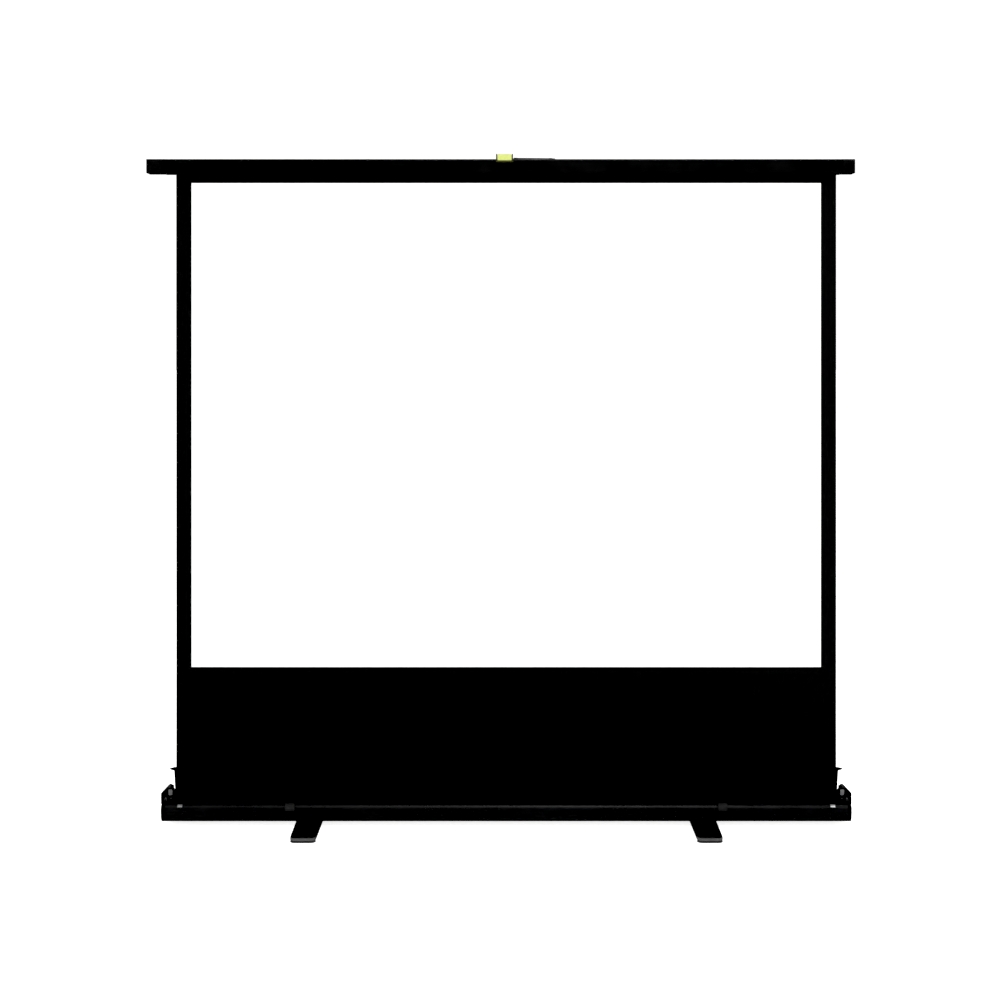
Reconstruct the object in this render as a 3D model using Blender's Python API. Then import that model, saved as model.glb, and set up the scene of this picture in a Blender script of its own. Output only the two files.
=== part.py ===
"""Portable projector screen that pulls up out of a floor case on two folding arms.

Metres, +Z up, the front faces -Y. The origin is on the floor, under the middle of the top bar and the
plane of the screen cloth. The case and the cloth stand CASE_SHIFT to the right of the top bar's middle.
"""
import math

import bmesh
import bpy
from mathutils import Matrix, Vector

# Clearances and sheet sizes
GAP = 0.0003
CLOTH = 0.0005
COATING = 0.0003
REAL_CLOTH = 0.00035
OVERRUN = 0.002
WELD = 0.0000001

# Screen cloth
IMAGE_WIDTH = 1.600
SIDE_BORDER = 0.039
TOP_BORDER = 0.0228
BLACK_DROP = 0.335

# Case
CASE_SHIFT = 0.014
CASE_WALL = 0.002
CASE_LIP_RADIUS = 0.010
CASE_BELLY_WIDTH = 0.016
CASE_BELLY_HEIGHT = 0.026
CASE_FRONT_ROOM = 0.0170
CASE_REAR_ROOM = 0.005
CASE_REAR_LIP = 0.006
CASE_CORNER = 0.004
END_ROOM = 0.018
END_CAP_THICK = 0.009
END_CAP_EDGE = 0.0015
SPIGOT_LONG = 0.006
SPIGOT_HIGH = 0.006
ROLL_ROOM = 0.0009

# Roller
TUBE_RADIUS = 0.015
TUBE_WALL = 0.0012
WRAP_PITCH = 0.001
WRAP_TURNS = 2
PLUG_LONG = 0.014
PLUG_FLANGE = 0.0022
ROLLER_SIDE_ROOM = 0.0012
JOURNAL_RADIUS = 0.004
SHAFT_LONG = 0.290
ROLLER_PLATE = 0.0025
ROLLER_PLATE_HALF = 0.016
ROLLER_FOOT = 0.0085
WINDER_RADIUS = 0.009
WINDER_WIRE = 0.001
WINDER_LONG = 0.230
WINDER_CURLS = 10

# Lift arms
ARM_HALF = 0.010
ARM_THICK = 0.009
ARM_INSET = 0.012
ARM_LEAN = math.radians(7.0)
ARM_GROOVE_HALF = 0.004
ARM_GROOVE_START = 0.020
ARM_GROOVE_DEEP = 0.0015
ARM_PLANE_ROOM = 0.0019
ELBOW_ROOM = 0.004
PIN_RADIUS = 0.0035
PIN_HEAD_RADIUS = 0.007
PIN_HEAD_THICK = 0.0025
COLLAR_RADIUS = 0.0055
COLLAR_ROOM = 0.0013
PIN_IN_BAR = 0.008
CHEEK_THICK = 0.002
CHEEK_RADIUS = 0.009
CHEEK_DROP_SHARE = 0.8
BRACKET_HALF = 0.011
BRACKET_ROOM = 0.0017

# Lift springs
SPRING_RADIUS = 0.007
SPRING_WIRE = 0.0011
SPRING_PITCH = 0.0028
SPRING_CURLS = 4
SPRING_ARM_LONG = 0.014
SPRING_END_ROOM = 0.0044

# Top bar
BAR_REACH = 0.0575
BAR_HEIGHT = 0.0364
BAR_WALL = 0.002
BAR_CORNER = 0.003
BAR_CAP_LEFT = 0.042
BAR_CAP_RIGHT = 0.031
BAR_CAP_RISE = 0.0009
BAR_CAP_EDGE = 0.003
BAR_SPIGOT_LONG = 0.007
BAR_SPIGOT_HIGH = 0.020
ROD_RADIUS = 0.003
FIN_THICK = 0.0012
FIN_SLOT_HALF = 0.0012

# Level and carry handle on the top bar
LEVEL_X = 0.0096
LEVEL_LONG = 0.043
LEVEL_DEEP = 0.013
LEVEL_HIGH = 0.0208
LEVEL_SINK = 0.0078
LEVEL_PROUD = 0.0008
LEVEL_POST = 0.0028
LEVEL_BASE = 0.0036
LEVEL_TAB_DEEP = 0.005
LEVEL_TAB_THICK = 0.0015
VIAL_DROP = 0.0007
VIAL_EDGE = 0.0022
HANDLE_FROM_LEVEL = 0.0019
HANDLE_LONG = 0.098
HANDLE_DEEP = 0.022
HANDLE_THICK = 0.0030
HANDLE_THIN = 0.0022
HANDLE_BOSS = 0.0022
HANDLE_LEG = 0.009
HANDLE_GRIP = 0.008
HANDLE_LIFT = 0.0008
HANDLE_STEP = 0.0004
HANDLE_SETBACK = 0.006
MOUNT_LONG = 0.007
MOUNT_DEEP = 0.012
MOUNT_PIN = 0.0013

# Lid latches
LATCH_INNER = 0.026
LATCH_WIDE = 0.019
LATCH_THICK = 0.014
LATCH_PIVOT_RISE = 0.0085
LATCH_FOOT_RADIUS = 0.0045
LATCH_PIN_RADIUS = 0.002
LATCH_ROOM = 0.0008
LATCH_BACK_ROOM = 0.0012
LATCH_HOOK_THICK = 0.0055
LATCH_HOOK_REACH = 0.006
LATCH_CHAMFER_WIDE = 0.0035
LATCH_CHAMFER_HIGH = 0.0030
LATCH_SHOULDER_WIDE = 0.0125
LATCH_SHOULDER_HIGH = 0.0195
LATCH_SHOULDER_SHARES = ((0.36, 0.28), (0.04, 0.72))
LATCH_OPEN = math.radians(12.0)
LEDGE_PLATE = 0.003
LEDGE_PLATE_LONG = 0.045
EAR_HIGH = 0.042
EAR_CHAMFER = 0.0175
EAR_PROUD = 0.0037
EAR_ROOT = 0.010
KNUCKLE_WIDE = 0.006
PLATE_WIDE = 0.012
PLATE_HIGH = 0.015
PLATE_THICK = 0.0016
PLATE_RISE = 0.0220
PLATE_OUT = 0.0015
PLATE_CORNER = 0.0035

# Lip clips and bumpers
CLIP_FROM_EDGE = 0.020
CLIP_WIDE = 0.012
CLIP_THICK = 0.0010
CLIP_SPREAD = (108, 152)
BUMPER_X = 0.543
BUMPER_WIDE = 0.025
BUMPER_THICK = 0.0035
BUMPER_EDGE = 0.0012
BUMPER_SPREAD = (85, 195)

# Release levers
LEVER_ALONG = 0.0157
LEVER_OUT = 0.0190
LEVER_HALF = 0.0025
LEVER_LONG = 0.0755
LEVER_SPLAY = math.radians(3.2)
LEVER_BOSS = 0.0045
LEVER_TAB_LONG = 0.0105
LEVER_TAB_HIGH = 0.008
LEVER_PIN_RADIUS = 0.002
LUG_SHARE = 0.45

# Feet
FOOT_X = 0.497
FOOT_Y = 0.008
FOOT_FRONT = 0.178
FOOT_HALF = 0.0327
FOOT_TIP_HALF = 0.0315
FOOT_THICK = 0.010
FOOT_EDGE = 0.0012
TIP_LONG = 0.016
TIP_SOLE = 0.0037
TIP_CORNER = 0.014
TIP_EDGE = 0.0030
TONGUE_LONG = 0.008
TONGUE_SIDE = 0.005
TONGUE_SKIN = 0.0022
BOLT_RADIUS = 0.004
BOLT_HEAD_RADIUS = 0.008
BOLT_HEAD_THICK = 0.0022
NUT_RADIUS = 0.0065
NUT_THICK = 0.003

# Counts
ROUND_STEPS = 20
ARC_STEPS = 5
CURL_POINTS = 10
WRAP_STEPS = 24

# Colours and finishes: red, green, blue, roughness, metallic
CASE_BLACK = (0.012, 0.012, 0.013, 0.38, 0.6)
CAP_BLACK = (0.016, 0.016, 0.017, 0.45, 0.0)
RUBBER_BLACK = (0.020, 0.020, 0.020, 0.80, 0.0)
ARM_BLACK = (0.020, 0.020, 0.021, 0.42, 0.7)
STEEL = (0.55, 0.55, 0.56, 0.28, 1.0)
CLOTH_BLACK = (0.012, 0.012, 0.012, 0.75, 0.0)
CLOTH_WHITE = (0.92, 0.92, 0.92, 0.70, 0.0)
VIAL_GREEN = (0.62, 0.67, 0.10, 0.12, 0.0)

# Worked out: the cloth, the rolled cloth and the case round it
SIDES = {"left": -1, "right": 1}
CLOTH_HALF = IMAGE_WIDTH / 2 + SIDE_BORDER
ARM_X = CLOTH_HALF - ARM_INSET
ARM_LONG = ARM_X - ARM_HALF - ELBOW_ROOM / 2
ARM_ANGLE = math.pi / 2 - ARM_LEAN
LIFT = 2 * ARM_LONG * math.sin(ARM_ANGLE)
FULL_ROLL = math.sqrt(TUBE_RADIUS ** 2 + LIFT * REAL_CLOTH / math.pi)
WRAP_START = TUBE_RADIUS + GAP + CLOTH / 2
WRAP_END = WRAP_START + WRAP_PITCH * WRAP_TURNS
ROLLER_Y = -WRAP_END
CASE_Z = TIP_SOLE + FOOT_THICK + GAP
FLOOR_Z = CASE_Z + CASE_WALL
ROLLER_Z = FLOOR_Z + ROLL_ROOM + FULL_ROLL
RIM_Z = ROLLER_Z + FULL_ROLL + ROLL_ROOM

# Worked out: the planes of the arms, from the cloth to the back
FIN_OUTER = ROD_RADIUS + GAP + FIN_THICK
UPPER_CHEEK_Y = FIN_OUTER + BRACKET_ROOM
UPPER_ARM_Y = UPPER_CHEEK_Y + CHEEK_THICK + GAP
UPPER_ARM_BACK = UPPER_ARM_Y + ARM_THICK
BRACKET_BACK = UPPER_ARM_BACK + GAP + CHEEK_THICK
BAR_HALF_DEPTH = BRACKET_BACK + GAP + BAR_WALL
LOWER_ARM_Y = BAR_HALF_DEPTH + ARM_PLANE_ROOM
LOWER_ARM_BACK = LOWER_ARM_Y + ARM_THICK
LOWER_CHEEK_Y = LOWER_ARM_Y - GAP - CHEEK_THICK
LOWER_CHEEK_BACK = LOWER_ARM_BACK + GAP + CHEEK_THICK
PIN_BACK = LOWER_CHEEK_BACK + GAP + PIN_HEAD_THICK
CASE_FRONT = ROLLER_Y - FULL_ROLL - CASE_FRONT_ROOM - CASE_WALL
CASE_BACK = PIN_BACK + CASE_REAR_ROOM + CASE_WALL
LEDGE_BACK = -BAR_HALF_DEPTH + BAR_WALL + GAP
CASE_HALF = CLOTH_HALF + END_ROOM

# Worked out: the heights of the arms and the bar, standing and closed
ARM_Z = RIM_Z - GAP - PIN_IN_BAR - 2 * (COLLAR_RADIUS + COLLAR_ROOM)
BAR_Z = ARM_Z + LIFT - PIN_IN_BAR
BAR_TOP = BAR_Z + BAR_HEIGHT
BAR_HALF = CLOTH_HALF + BAR_REACH
BAR_LEFT = -BAR_HALF + BAR_CAP_LEFT
BAR_RIGHT = BAR_HALF - BAR_CAP_RIGHT
ROD_Z = BAR_TOP - BAR_WALL - GAP - ROD_RADIUS
CLOSED_BAR_TOP = RIM_Z + GAP + BAR_HEIGHT

# Worked out: the level, let into the bar's front, and the handle beside it
LEVEL_LEFT = LEVEL_X - LEVEL_LONG / 2
LEVEL_RIGHT = LEVEL_X + LEVEL_LONG / 2
LEVEL_FRONT = -BAR_HALF_DEPTH - LEVEL_PROUD
LEVEL_BACK = LEVEL_FRONT + LEVEL_DEEP
LEVEL_Z = BAR_TOP - LEVEL_SINK
HANDLE_X = LEVEL_RIGHT + HANDLE_FROM_LEVEL + HANDLE_LONG / 2

# Worked out: the latches
LATCH_X = CLOTH_HALF + END_ROOM - LATCH_INNER + LATCH_WIDE / 2 + KNUCKLE_WIDE / 2
LATCH_BACK = -BAR_HALF_DEPTH - LATCH_BACK_ROOM
LATCH_PIVOT_Y = LATCH_BACK - LATCH_THICK / 2
PLATE_TOP_Z = RIM_Z + GAP + LEDGE_PLATE
LATCH_PIVOT_Z = RIM_Z + LATCH_PIVOT_RISE
HOOK_Z = CLOSED_BAR_TOP + LATCH_ROOM

# Worked out: the feet reach as far behind the cloth as in front of it
FOOT_BACK = FOOT_FRONT - 2 * FOOT_Y


def start_clean():
    for thing in list(bpy.data.objects):
        bpy.data.objects.remove(thing, do_unlink=True)


def material(name, finish):
    made = bpy.data.materials.get(name)
    if made is None:
        red, green, blue, roughness, metallic = finish
        made = bpy.data.materials.new(name)
        made.use_nodes = True
        shader = made.node_tree.nodes["Principled BSDF"]
        shader.inputs["Base Color"].default_value = (red, green, blue, 1)
        shader.inputs["Roughness"].default_value = roughness
        shader.inputs["Metallic"].default_value = metallic
    return made


def place(name, mesh, finish=None, pivot=(0, 0, 0)):
    """Put a mesh that is built round the pivot into the scene as one named object."""
    piece = bpy.data.objects.new(name, mesh)
    piece.location = pivot
    bpy.context.collection.objects.link(piece)
    if finish:
        mesh.materials.append(material(name, finish))
        mesh.shade_smooth()
        mesh.set_sharp_from_angle(angle=math.radians(35))
    return piece


def mesh_of(bm):
    bmesh.ops.recalc_face_normals(bm, faces=bm.faces)
    mesh = bpy.data.meshes.new("shape")
    bm.to_mesh(mesh)
    bm.free()
    return mesh


def prism(outline, axis, low, high):
    """Extrude an outline along an axis: it is given as y, z for X, as x, z for Y and as x, y for Z."""
    spots = {"X": lambda u, v: (low, u, v), "Y": lambda u, v: (u, low, v), "Z": lambda u, v: (u, v, low)}
    move = Vector([high - low if axis == letter else 0 for letter in "XYZ"])
    bm = bmesh.new()
    face = bm.faces.new([bm.verts.new(spots[axis](u, v)) for u, v in outline])
    grown = bmesh.ops.extrude_face_region(bm, geom=[face])
    bmesh.ops.translate(bm, vec=move, verts=[v for v in grown["geom"] if isinstance(v, bmesh.types.BMVert)])
    return mesh_of(bm)


def block(x_low, x_high, y_low, y_high, z_low, z_high):
    outline = [(x_low, y_low), (x_high, y_low), (x_high, y_high), (x_low, y_high)]
    return prism(outline, "Z", z_low, z_high)


def turned(profile, axis, centre, steps=ROUND_STEPS, closed=False):
    """Turn a profile of (radius, place along the axis) round an axis through the centre."""
    frames = {"X": ((0, 1, 0), (0, 0, 1), (1, 0, 0)), "Y": ((0, 0, 1), (1, 0, 0), (0, 1, 0)),
              "Z": ((1, 0, 0), (0, 1, 0), (0, 0, 1))}
    across, up, along = [Vector(part) for part in frames[axis]]
    bm = bmesh.new()
    rings = []
    for radius, reach in profile:
        ring = []
        for step in range(steps):
            angle = 2 * math.pi * step / steps
            ring.append(bm.verts.new(Vector(centre) + across * (radius * math.cos(angle))
                                     + up * (radius * math.sin(angle)) + along * reach))
        rings.append(ring)
    pairs = list(zip(rings, rings[1:]))
    if closed:
        pairs.append((rings[-1], rings[0]))
    else:
        bm.faces.new(rings[0])
        bm.faces.new(rings[-1])
    for first, second in pairs:
        for step in range(steps):
            following = (step + 1) % steps
            bm.faces.new((first[step], first[following], second[following], second[step]))
    return mesh_of(bm)


def rod(radius, axis, low, high, centre, steps=ROUND_STEPS):
    return turned([(radius, low), (radius, high)], axis, centre, steps)


def weld(mesh):
    """Merge the doubled points that a Boolean leaves where a corner of one shape meets the other's edge."""
    bm = bmesh.new()
    bm.from_mesh(mesh)
    bmesh.ops.remove_doubles(bm, verts=bm.verts, dist=WELD)
    bm.to_mesh(mesh)
    bm.free()


def combine(piece, mesh, operation):
    """Join another shape to a piece, or cut it out, and keep the result as the piece's mesh."""
    tool = place(piece.name + "_tool", mesh, pivot=piece.location)
    step = piece.modifiers.new(operation, "BOOLEAN")
    step.operation = operation
    step.solver = "EXACT"
    step.object = tool
    bpy.context.view_layer.update()
    evaluated = piece.evaluated_get(bpy.context.evaluated_depsgraph_get())
    result = bpy.data.meshes.new_from_object(evaluated)
    weld(result)
    piece.modifiers.clear()
    piece.data = result
    bpy.data.objects.remove(tool, do_unlink=True)
    return piece


def join(piece, *meshes):
    for mesh in meshes:
        combine(piece, mesh, "UNION")
    return piece


def cut(piece, *meshes):
    for mesh in meshes:
        combine(piece, mesh, "DIFFERENCE")
    return piece


def soften(piece, width, segments=2, angle=40):
    edge = piece.modifiers.new("Soft edges", "BEVEL")
    edge.width = width
    edge.segments = segments
    edge.limit_method = "ANGLE"
    edge.angle_limit = math.radians(angle)
    return piece


def arc(centre, wide, high, start, end, steps=ARC_STEPS):
    """Points on an ellipse's arc, from one angle to another in degrees."""
    points = []
    for step in range(steps + 1):
        angle = math.radians(start + (end - start) * step / steps)
        points.append((centre[0] + wide * math.cos(angle), centre[1] + high * math.sin(angle)))
    return points


def rounded_box(low, high, corner, steps=3):
    """The outline of a rectangle with four round corners, counterclockwise from the lower right one."""
    outline = []
    corners = [(high[0] - corner, low[1] + corner, -90), (high[0] - corner, high[1] - corner, 0),
               (low[0] + corner, high[1] - corner, 90), (low[0] + corner, low[1] + corner, 180)]
    for u, v, start in corners:
        outline += arc((u, v), corner, corner, start, start + 90, steps)
    return outline


def stadium(half, long, steps=8):
    """The outline of a bar with round ends, from its first hole's centre at zero to its second."""
    return arc((long, 0), half, half, -90, 90, steps) + arc((0, 0), half, half, 90, 270, steps)


def side_x(side, reach):
    """The world x of a place that lies a reach from the case's middle, on one side."""
    return CASE_SHIFT + side * reach


def side_prism(side, outline, low, high):
    """A prism along X between two reaches from the case's middle, on one side."""
    ends = sorted((side_x(side, low), side_x(side, high)))
    return prism(outline, "X", ends[0], ends[1])


def side_block(side, low, high, y_low, y_high, z_low, z_high):
    outline = [(y_low, z_low), (y_high, z_low), (y_high, z_high), (y_low, z_high)]
    return side_prism(side, outline, low, high)


def tube_curve(name, points, radius, finish):
    data = bpy.data.curves.new(name, "CURVE")
    data.dimensions = "3D"
    data.bevel_depth = radius
    data.bevel_resolution = 1
    data.use_fill_caps = True
    spline = data.splines.new("POLY")
    spline.points.add(len(points) - 1)
    for spot, point in zip(spline.points, points):
        spot.co = (point[0], point[1], point[2], 1)
    data.materials.append(material(name, finish))
    wire = bpy.data.objects.new(name, data)
    bpy.context.collection.objects.link(wire)
    return wire


def print_gap(name, points, thick, turn_points):
    """Print the least gap between the turns of a wound line, measured from point to point."""
    spots = [Vector(point) for point in points]
    apart = turn_points // 2
    least = min((first - second).length for count, first in enumerate(spots)
                for second in spots[count + apart:])
    print(name + ": least gap to itself, in metres", round(least - thick, 5))


def case_outer():
    """The case's outer outline in y, z: from the rim round the front, under the floor and up the back."""
    lip = arc((CASE_FRONT + CASE_LIP_RADIUS, RIM_Z - CASE_LIP_RADIUS), CASE_LIP_RADIUS, CASE_LIP_RADIUS,
              90, 180)
    belly = arc((CASE_FRONT + CASE_BELLY_WIDTH, CASE_Z + CASE_BELLY_HEIGHT), CASE_BELLY_WIDTH,
                CASE_BELLY_HEIGHT, 180, 270, ARC_STEPS + 2)
    heel = arc((CASE_BACK - CASE_CORNER, CASE_Z + CASE_CORNER), CASE_CORNER, CASE_CORNER, -90, 0, 3)
    return lip + belly + heel


def case_inner():
    """The inner outline, from the foot of the back wall round to the front lip."""
    corner = CASE_CORNER - CASE_WALL
    heel = arc((CASE_BACK - CASE_CORNER, CASE_Z + CASE_CORNER), corner, corner, 0, -90, 3)
    belly = arc((CASE_FRONT + CASE_BELLY_WIDTH, CASE_Z + CASE_BELLY_HEIGHT), CASE_BELLY_WIDTH - CASE_WALL,
                CASE_BELLY_HEIGHT - CASE_WALL, 270, 180, ARC_STEPS + 2)
    lip = arc((CASE_FRONT + CASE_LIP_RADIUS, RIM_Z - CASE_LIP_RADIUS), CASE_LIP_RADIUS - CASE_WALL,
              CASE_LIP_RADIUS - CASE_WALL, 180, 90)
    return heel + belly + lip


def case_shell():
    back = [(CASE_BACK, RIM_Z), (CASE_BACK - CASE_REAR_LIP, RIM_Z),
            (CASE_BACK - CASE_REAR_LIP, RIM_Z - CASE_WALL), (CASE_BACK - CASE_WALL, RIM_Z - CASE_WALL)]
    ledge = [(LEDGE_BACK, RIM_Z - CASE_WALL), (LEDGE_BACK, RIM_Z)]
    outline = case_outer() + back + case_inner() + ledge
    mesh = prism(outline, "X", side_x(-1, CASE_HALF), side_x(1, CASE_HALF))
    shell = place("case_shell", mesh, CASE_BLACK)
    for side in SIDES.values():
        hole = rod(BOLT_RADIUS + GAP, "Z", CASE_Z - OVERRUN, FLOOR_Z + OVERRUN,
                   (side_x(side, FOOT_X), FOOT_Y, 0))
        cut(shell, hole)


def end_cap(label, side):
    """The moulded end: a plate, an ear for the latch, and a plate on the ledge that carries its knuckle."""
    inner = CASE_HALF + GAP
    outer = inner + END_CAP_THICK
    outline = case_outer() + [(CASE_BACK, RIM_Z)]
    cap = place(label + "_end_cap", side_prism(side, outline, inner, outer), CAP_BLACK)
    ear_top = RIM_Z + EAR_HIGH
    ear_inner = LATCH_X + LATCH_WIDE / 2 + GAP
    ear_outer = outer + EAR_PROUD
    ear_foot = PLATE_TOP_Z - LEDGE_PLATE / 2
    ear = [(inner, RIM_Z - OVERRUN), (outer, RIM_Z - EAR_ROOT), (ear_outer, RIM_Z),
           (ear_outer, ear_top - EAR_CHAMFER), (ear_inner, ear_top), (ear_inner, ear_foot), (inner, ear_foot)]
    ear = [(side_x(side, x), z) for x, z in ear]
    front = LATCH_BACK - LATCH_THICK
    knuckle_high = side_x(side, LATCH_X - LATCH_WIDE / 2 - GAP)
    knuckle_low = side_x(side, LATCH_X - LATCH_WIDE / 2 - GAP - KNUCKLE_WIDE)
    knuckle = arc((LATCH_PIVOT_Y, LATCH_PIVOT_Z), LATCH_FOOT_RADIUS, LATCH_FOOT_RADIUS, 0, 180)
    knuckle += [(LATCH_PIVOT_Y - LATCH_FOOT_RADIUS, PLATE_TOP_Z - LEDGE_PLATE / 2),
                (LATCH_PIVOT_Y + LATCH_FOOT_RADIUS, PLATE_TOP_Z - LEDGE_PLATE / 2)]
    foot = side_block(side, inner - SPIGOT_LONG, inner + END_CAP_THICK / 2,
                      ROLLER_Y + ROLLER_PLATE_HALF + GAP, CASE_BACK - CASE_CORNER,
                      FLOOR_Z + GAP, FLOOR_Z + GAP + SPIGOT_HIGH)
    plate = side_block(side, CASE_HALF - LEDGE_PLATE_LONG, inner + END_CAP_THICK / 2,
                       CASE_FRONT + CASE_LIP_RADIUS + GAP, LATCH_BACK, RIM_Z + GAP, PLATE_TOP_Z)
    ends = sorted((knuckle_low, knuckle_high))
    join(cap, prism(ear, "Y", front, LATCH_BACK), plate, prism(knuckle, "X", ends[0], ends[1]), foot)
    hole = rod(LATCH_PIN_RADIUS + GAP, "X", -LATCH_WIDE, LATCH_WIDE,
               (side_x(side, LATCH_X), LATCH_PIVOT_Y, LATCH_PIVOT_Z), 12)
    cut(cap, hole)
    soften(cap, END_CAP_EDGE, 1, 60)


def lip_pad(name, side, reach, wide, thick, spread, finish):
    """A strip that follows the case's rounded front lip, spread between two angles in degrees."""
    centre = (CASE_FRONT + CASE_LIP_RADIUS, RIM_Z - CASE_LIP_RADIUS)
    inner = CASE_LIP_RADIUS + GAP
    start, end = spread
    outline = arc(centre, inner + thick, inner + thick, start, end) + arc(centre, inner, inner, end, start)
    mesh = side_prism(side, outline, reach - wide / 2, reach + wide / 2)
    return place(name, mesh, finish)


def roller_bracket(label, side):
    """A plate that stands on the case floor beside the roller and holds its axle."""
    inner = CLOTH_HALF + PLUG_FLANGE + ROLLER_SIDE_ROOM
    outer = inner + ROLLER_PLATE
    bottom = FLOOR_Z + GAP
    outline = arc((ROLLER_Y, ROLLER_Z), ROLLER_PLATE_HALF, ROLLER_PLATE_HALF, 0, 180, 8)
    outline += [(ROLLER_Y - ROLLER_PLATE_HALF, bottom), (ROLLER_Y + ROLLER_PLATE_HALF, bottom)]
    bracket = place(label + "_roller_bracket", side_prism(side, outline, inner, outer), STEEL)
    foot = side_block(side, outer - ROLLER_PLATE / 2, outer + ROLLER_FOOT, ROLLER_Y - ROLLER_PLATE_HALF,
                      ROLLER_Y + ROLLER_PLATE_HALF, bottom, bottom + ROLLER_PLATE)
    join(bracket, foot)
    cut(bracket, rod(JOURNAL_RADIUS + GAP, "X", -OVERRUN - ROLLER_PLATE, ROLLER_PLATE + OVERRUN,
                     (side_x(side, inner), ROLLER_Y, ROLLER_Z), 16))


def roller():
    inner = TUBE_RADIUS - TUBE_WALL
    centre = (CASE_SHIFT, ROLLER_Y, ROLLER_Z)
    tube = [(TUBE_RADIUS, -CLOTH_HALF), (TUBE_RADIUS, CLOTH_HALF), (inner, CLOTH_HALF), (inner, -CLOTH_HALF)]
    place("roller_tube", turned(tube, "X", centre, closed=True), STEEL)
    bore = JOURNAL_RADIUS + GAP
    spigot = inner - GAP
    ends = (CLOTH_HALF - PLUG_LONG, CLOTH_HALF + GAP, CLOTH_HALF + GAP + PLUG_FLANGE)
    left = [(bore, -ends[0]), (spigot, -ends[0]), (spigot, -ends[1]), (TUBE_RADIUS, -ends[1]),
            (TUBE_RADIUS, -ends[2]), (bore, -ends[2])]
    place("left_roller_plug", turned(left, "X", centre, closed=True), CAP_BLACK)
    stub = ends[2] + ROLLER_PLATE + ROLLER_FOOT / 2
    right = [(spigot, ends[0]), (spigot, ends[1]), (TUBE_RADIUS, ends[1]), (TUBE_RADIUS, ends[2]),
             (JOURNAL_RADIUS, ends[2]), (JOURNAL_RADIUS, stub)]
    place("right_roller_plug", turned(right, "X", centre), CAP_BLACK)
    shaft = [(JOURNAL_RADIUS, -stub), (JOURNAL_RADIUS, -stub + SHAFT_LONG)]
    place("roller_shaft", turned(shaft, "X", centre, 12), STEEL)


def roller_wrap():
    """The turns of cloth left on the tube: one strip wound outward to the point where it leaves upward."""
    steps = WRAP_STEPS * WRAP_TURNS
    outer, middle, inner = [], [], []
    for step in range(steps + 1):
        turn = step / steps - 1
        angle = 2 * math.pi * WRAP_TURNS * turn
        radius = WRAP_END + WRAP_PITCH * WRAP_TURNS * turn
        for face, shift in ((outer, CLOTH / 2), (middle, 0), (inner, -CLOTH / 2)):
            face.append((ROLLER_Y + (radius + shift) * math.cos(angle),
                         ROLLER_Z + (radius + shift) * math.sin(angle)))
    outline = outer + inner[::-1]
    place("roller_wrap", prism(outline, "X", side_x(-1, CLOTH_HALF), side_x(1, CLOTH_HALF)), CLOTH_BLACK)
    print_gap("roller wrap", [(0, y, z) for y, z in middle], CLOTH, WRAP_STEPS)


def winding_spring():
    """The spring round the roller shaft that pulls the cloth down, its end square to the left plug."""
    start = side_x(-1, CLOTH_HALF - PLUG_LONG - GAP)
    straight = 2 * WINDER_WIRE
    points = [(start, ROLLER_Y + WINDER_RADIUS, ROLLER_Z)]
    for step in range(WINDER_CURLS * CURL_POINTS + 1):
        angle = 2 * math.pi * step / CURL_POINTS
        along = start + straight + WINDER_LONG * step / (WINDER_CURLS * CURL_POINTS)
        points.append((along, ROLLER_Y + WINDER_RADIUS * math.cos(angle),
                       ROLLER_Z + WINDER_RADIUS * math.sin(angle)))
    tube_curve("winding_spring", points, WINDER_WIRE, STEEL)
    print_gap("winding spring", points, 2 * WINDER_WIRE, CURL_POINTS)


def screen_cloth():
    left, right = side_x(-1, CLOTH_HALF), side_x(1, CLOTH_HALF)
    top = ROD_Z - ROD_RADIUS - GAP
    cloth = block(left, right, -CLOTH / 2, CLOTH / 2, ROLLER_Z + GAP, top)
    place("screen_cloth", cloth, CLOTH_BLACK)
    front = -CLOTH / 2 - GAP
    half = IMAGE_WIDTH / 2
    image = block(side_x(-1, half), side_x(1, half), front - COATING, front, RIM_Z + BLACK_DROP,
                  BAR_Z - TOP_BORDER)
    place("viewing_surface", image, CLOTH_WHITE)


def bar_outer(bottom):
    top_left = arc((-BAR_HALF_DEPTH + BAR_CORNER, BAR_TOP - BAR_CORNER), BAR_CORNER, BAR_CORNER, 180, 90, 3)
    top_right = arc((BAR_HALF_DEPTH - BAR_CORNER, BAR_TOP - BAR_CORNER), BAR_CORNER, BAR_CORNER, 90, 0, 3)
    return [(-BAR_HALF_DEPTH, bottom)] + top_left + top_right + [(BAR_HALF_DEPTH, bottom)]


def top_bar():
    """The bar: a channel open below, with hooked fins for the hem rod and a notch for the level."""
    web = BAR_TOP - BAR_WALL
    inner = BAR_HALF_DEPTH - BAR_WALL
    hook_top = ROD_Z - ROD_RADIUS - GAP
    hook = hook_top - FIN_THICK
    fin_inner = FIN_OUTER - FIN_THICK
    half = [(inner, BAR_Z), (inner, web), (FIN_OUTER, web), (FIN_OUTER, hook), (FIN_SLOT_HALF, hook),
            (FIN_SLOT_HALF, hook_top), (fin_inner, hook_top), (fin_inner, web)]
    outline = bar_outer(BAR_Z) + half + [(-y, z) for y, z in half[::-1]]
    bar = place("top_bar", prism(outline, "X", BAR_LEFT, BAR_RIGHT), CASE_BLACK)
    cut(bar, block(LEVEL_LEFT - GAP, LEVEL_RIGHT + GAP, LEVEL_FRONT - OVERRUN, LEVEL_BACK + GAP,
                   LEVEL_Z - GAP, BAR_TOP + OVERRUN))
    rod_mesh = rod(ROD_RADIUS, "X", -CLOTH_HALF, CLOTH_HALF, (CASE_SHIFT, 0, ROD_Z), 12)
    place("hem_rod", rod_mesh, STEEL)


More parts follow.
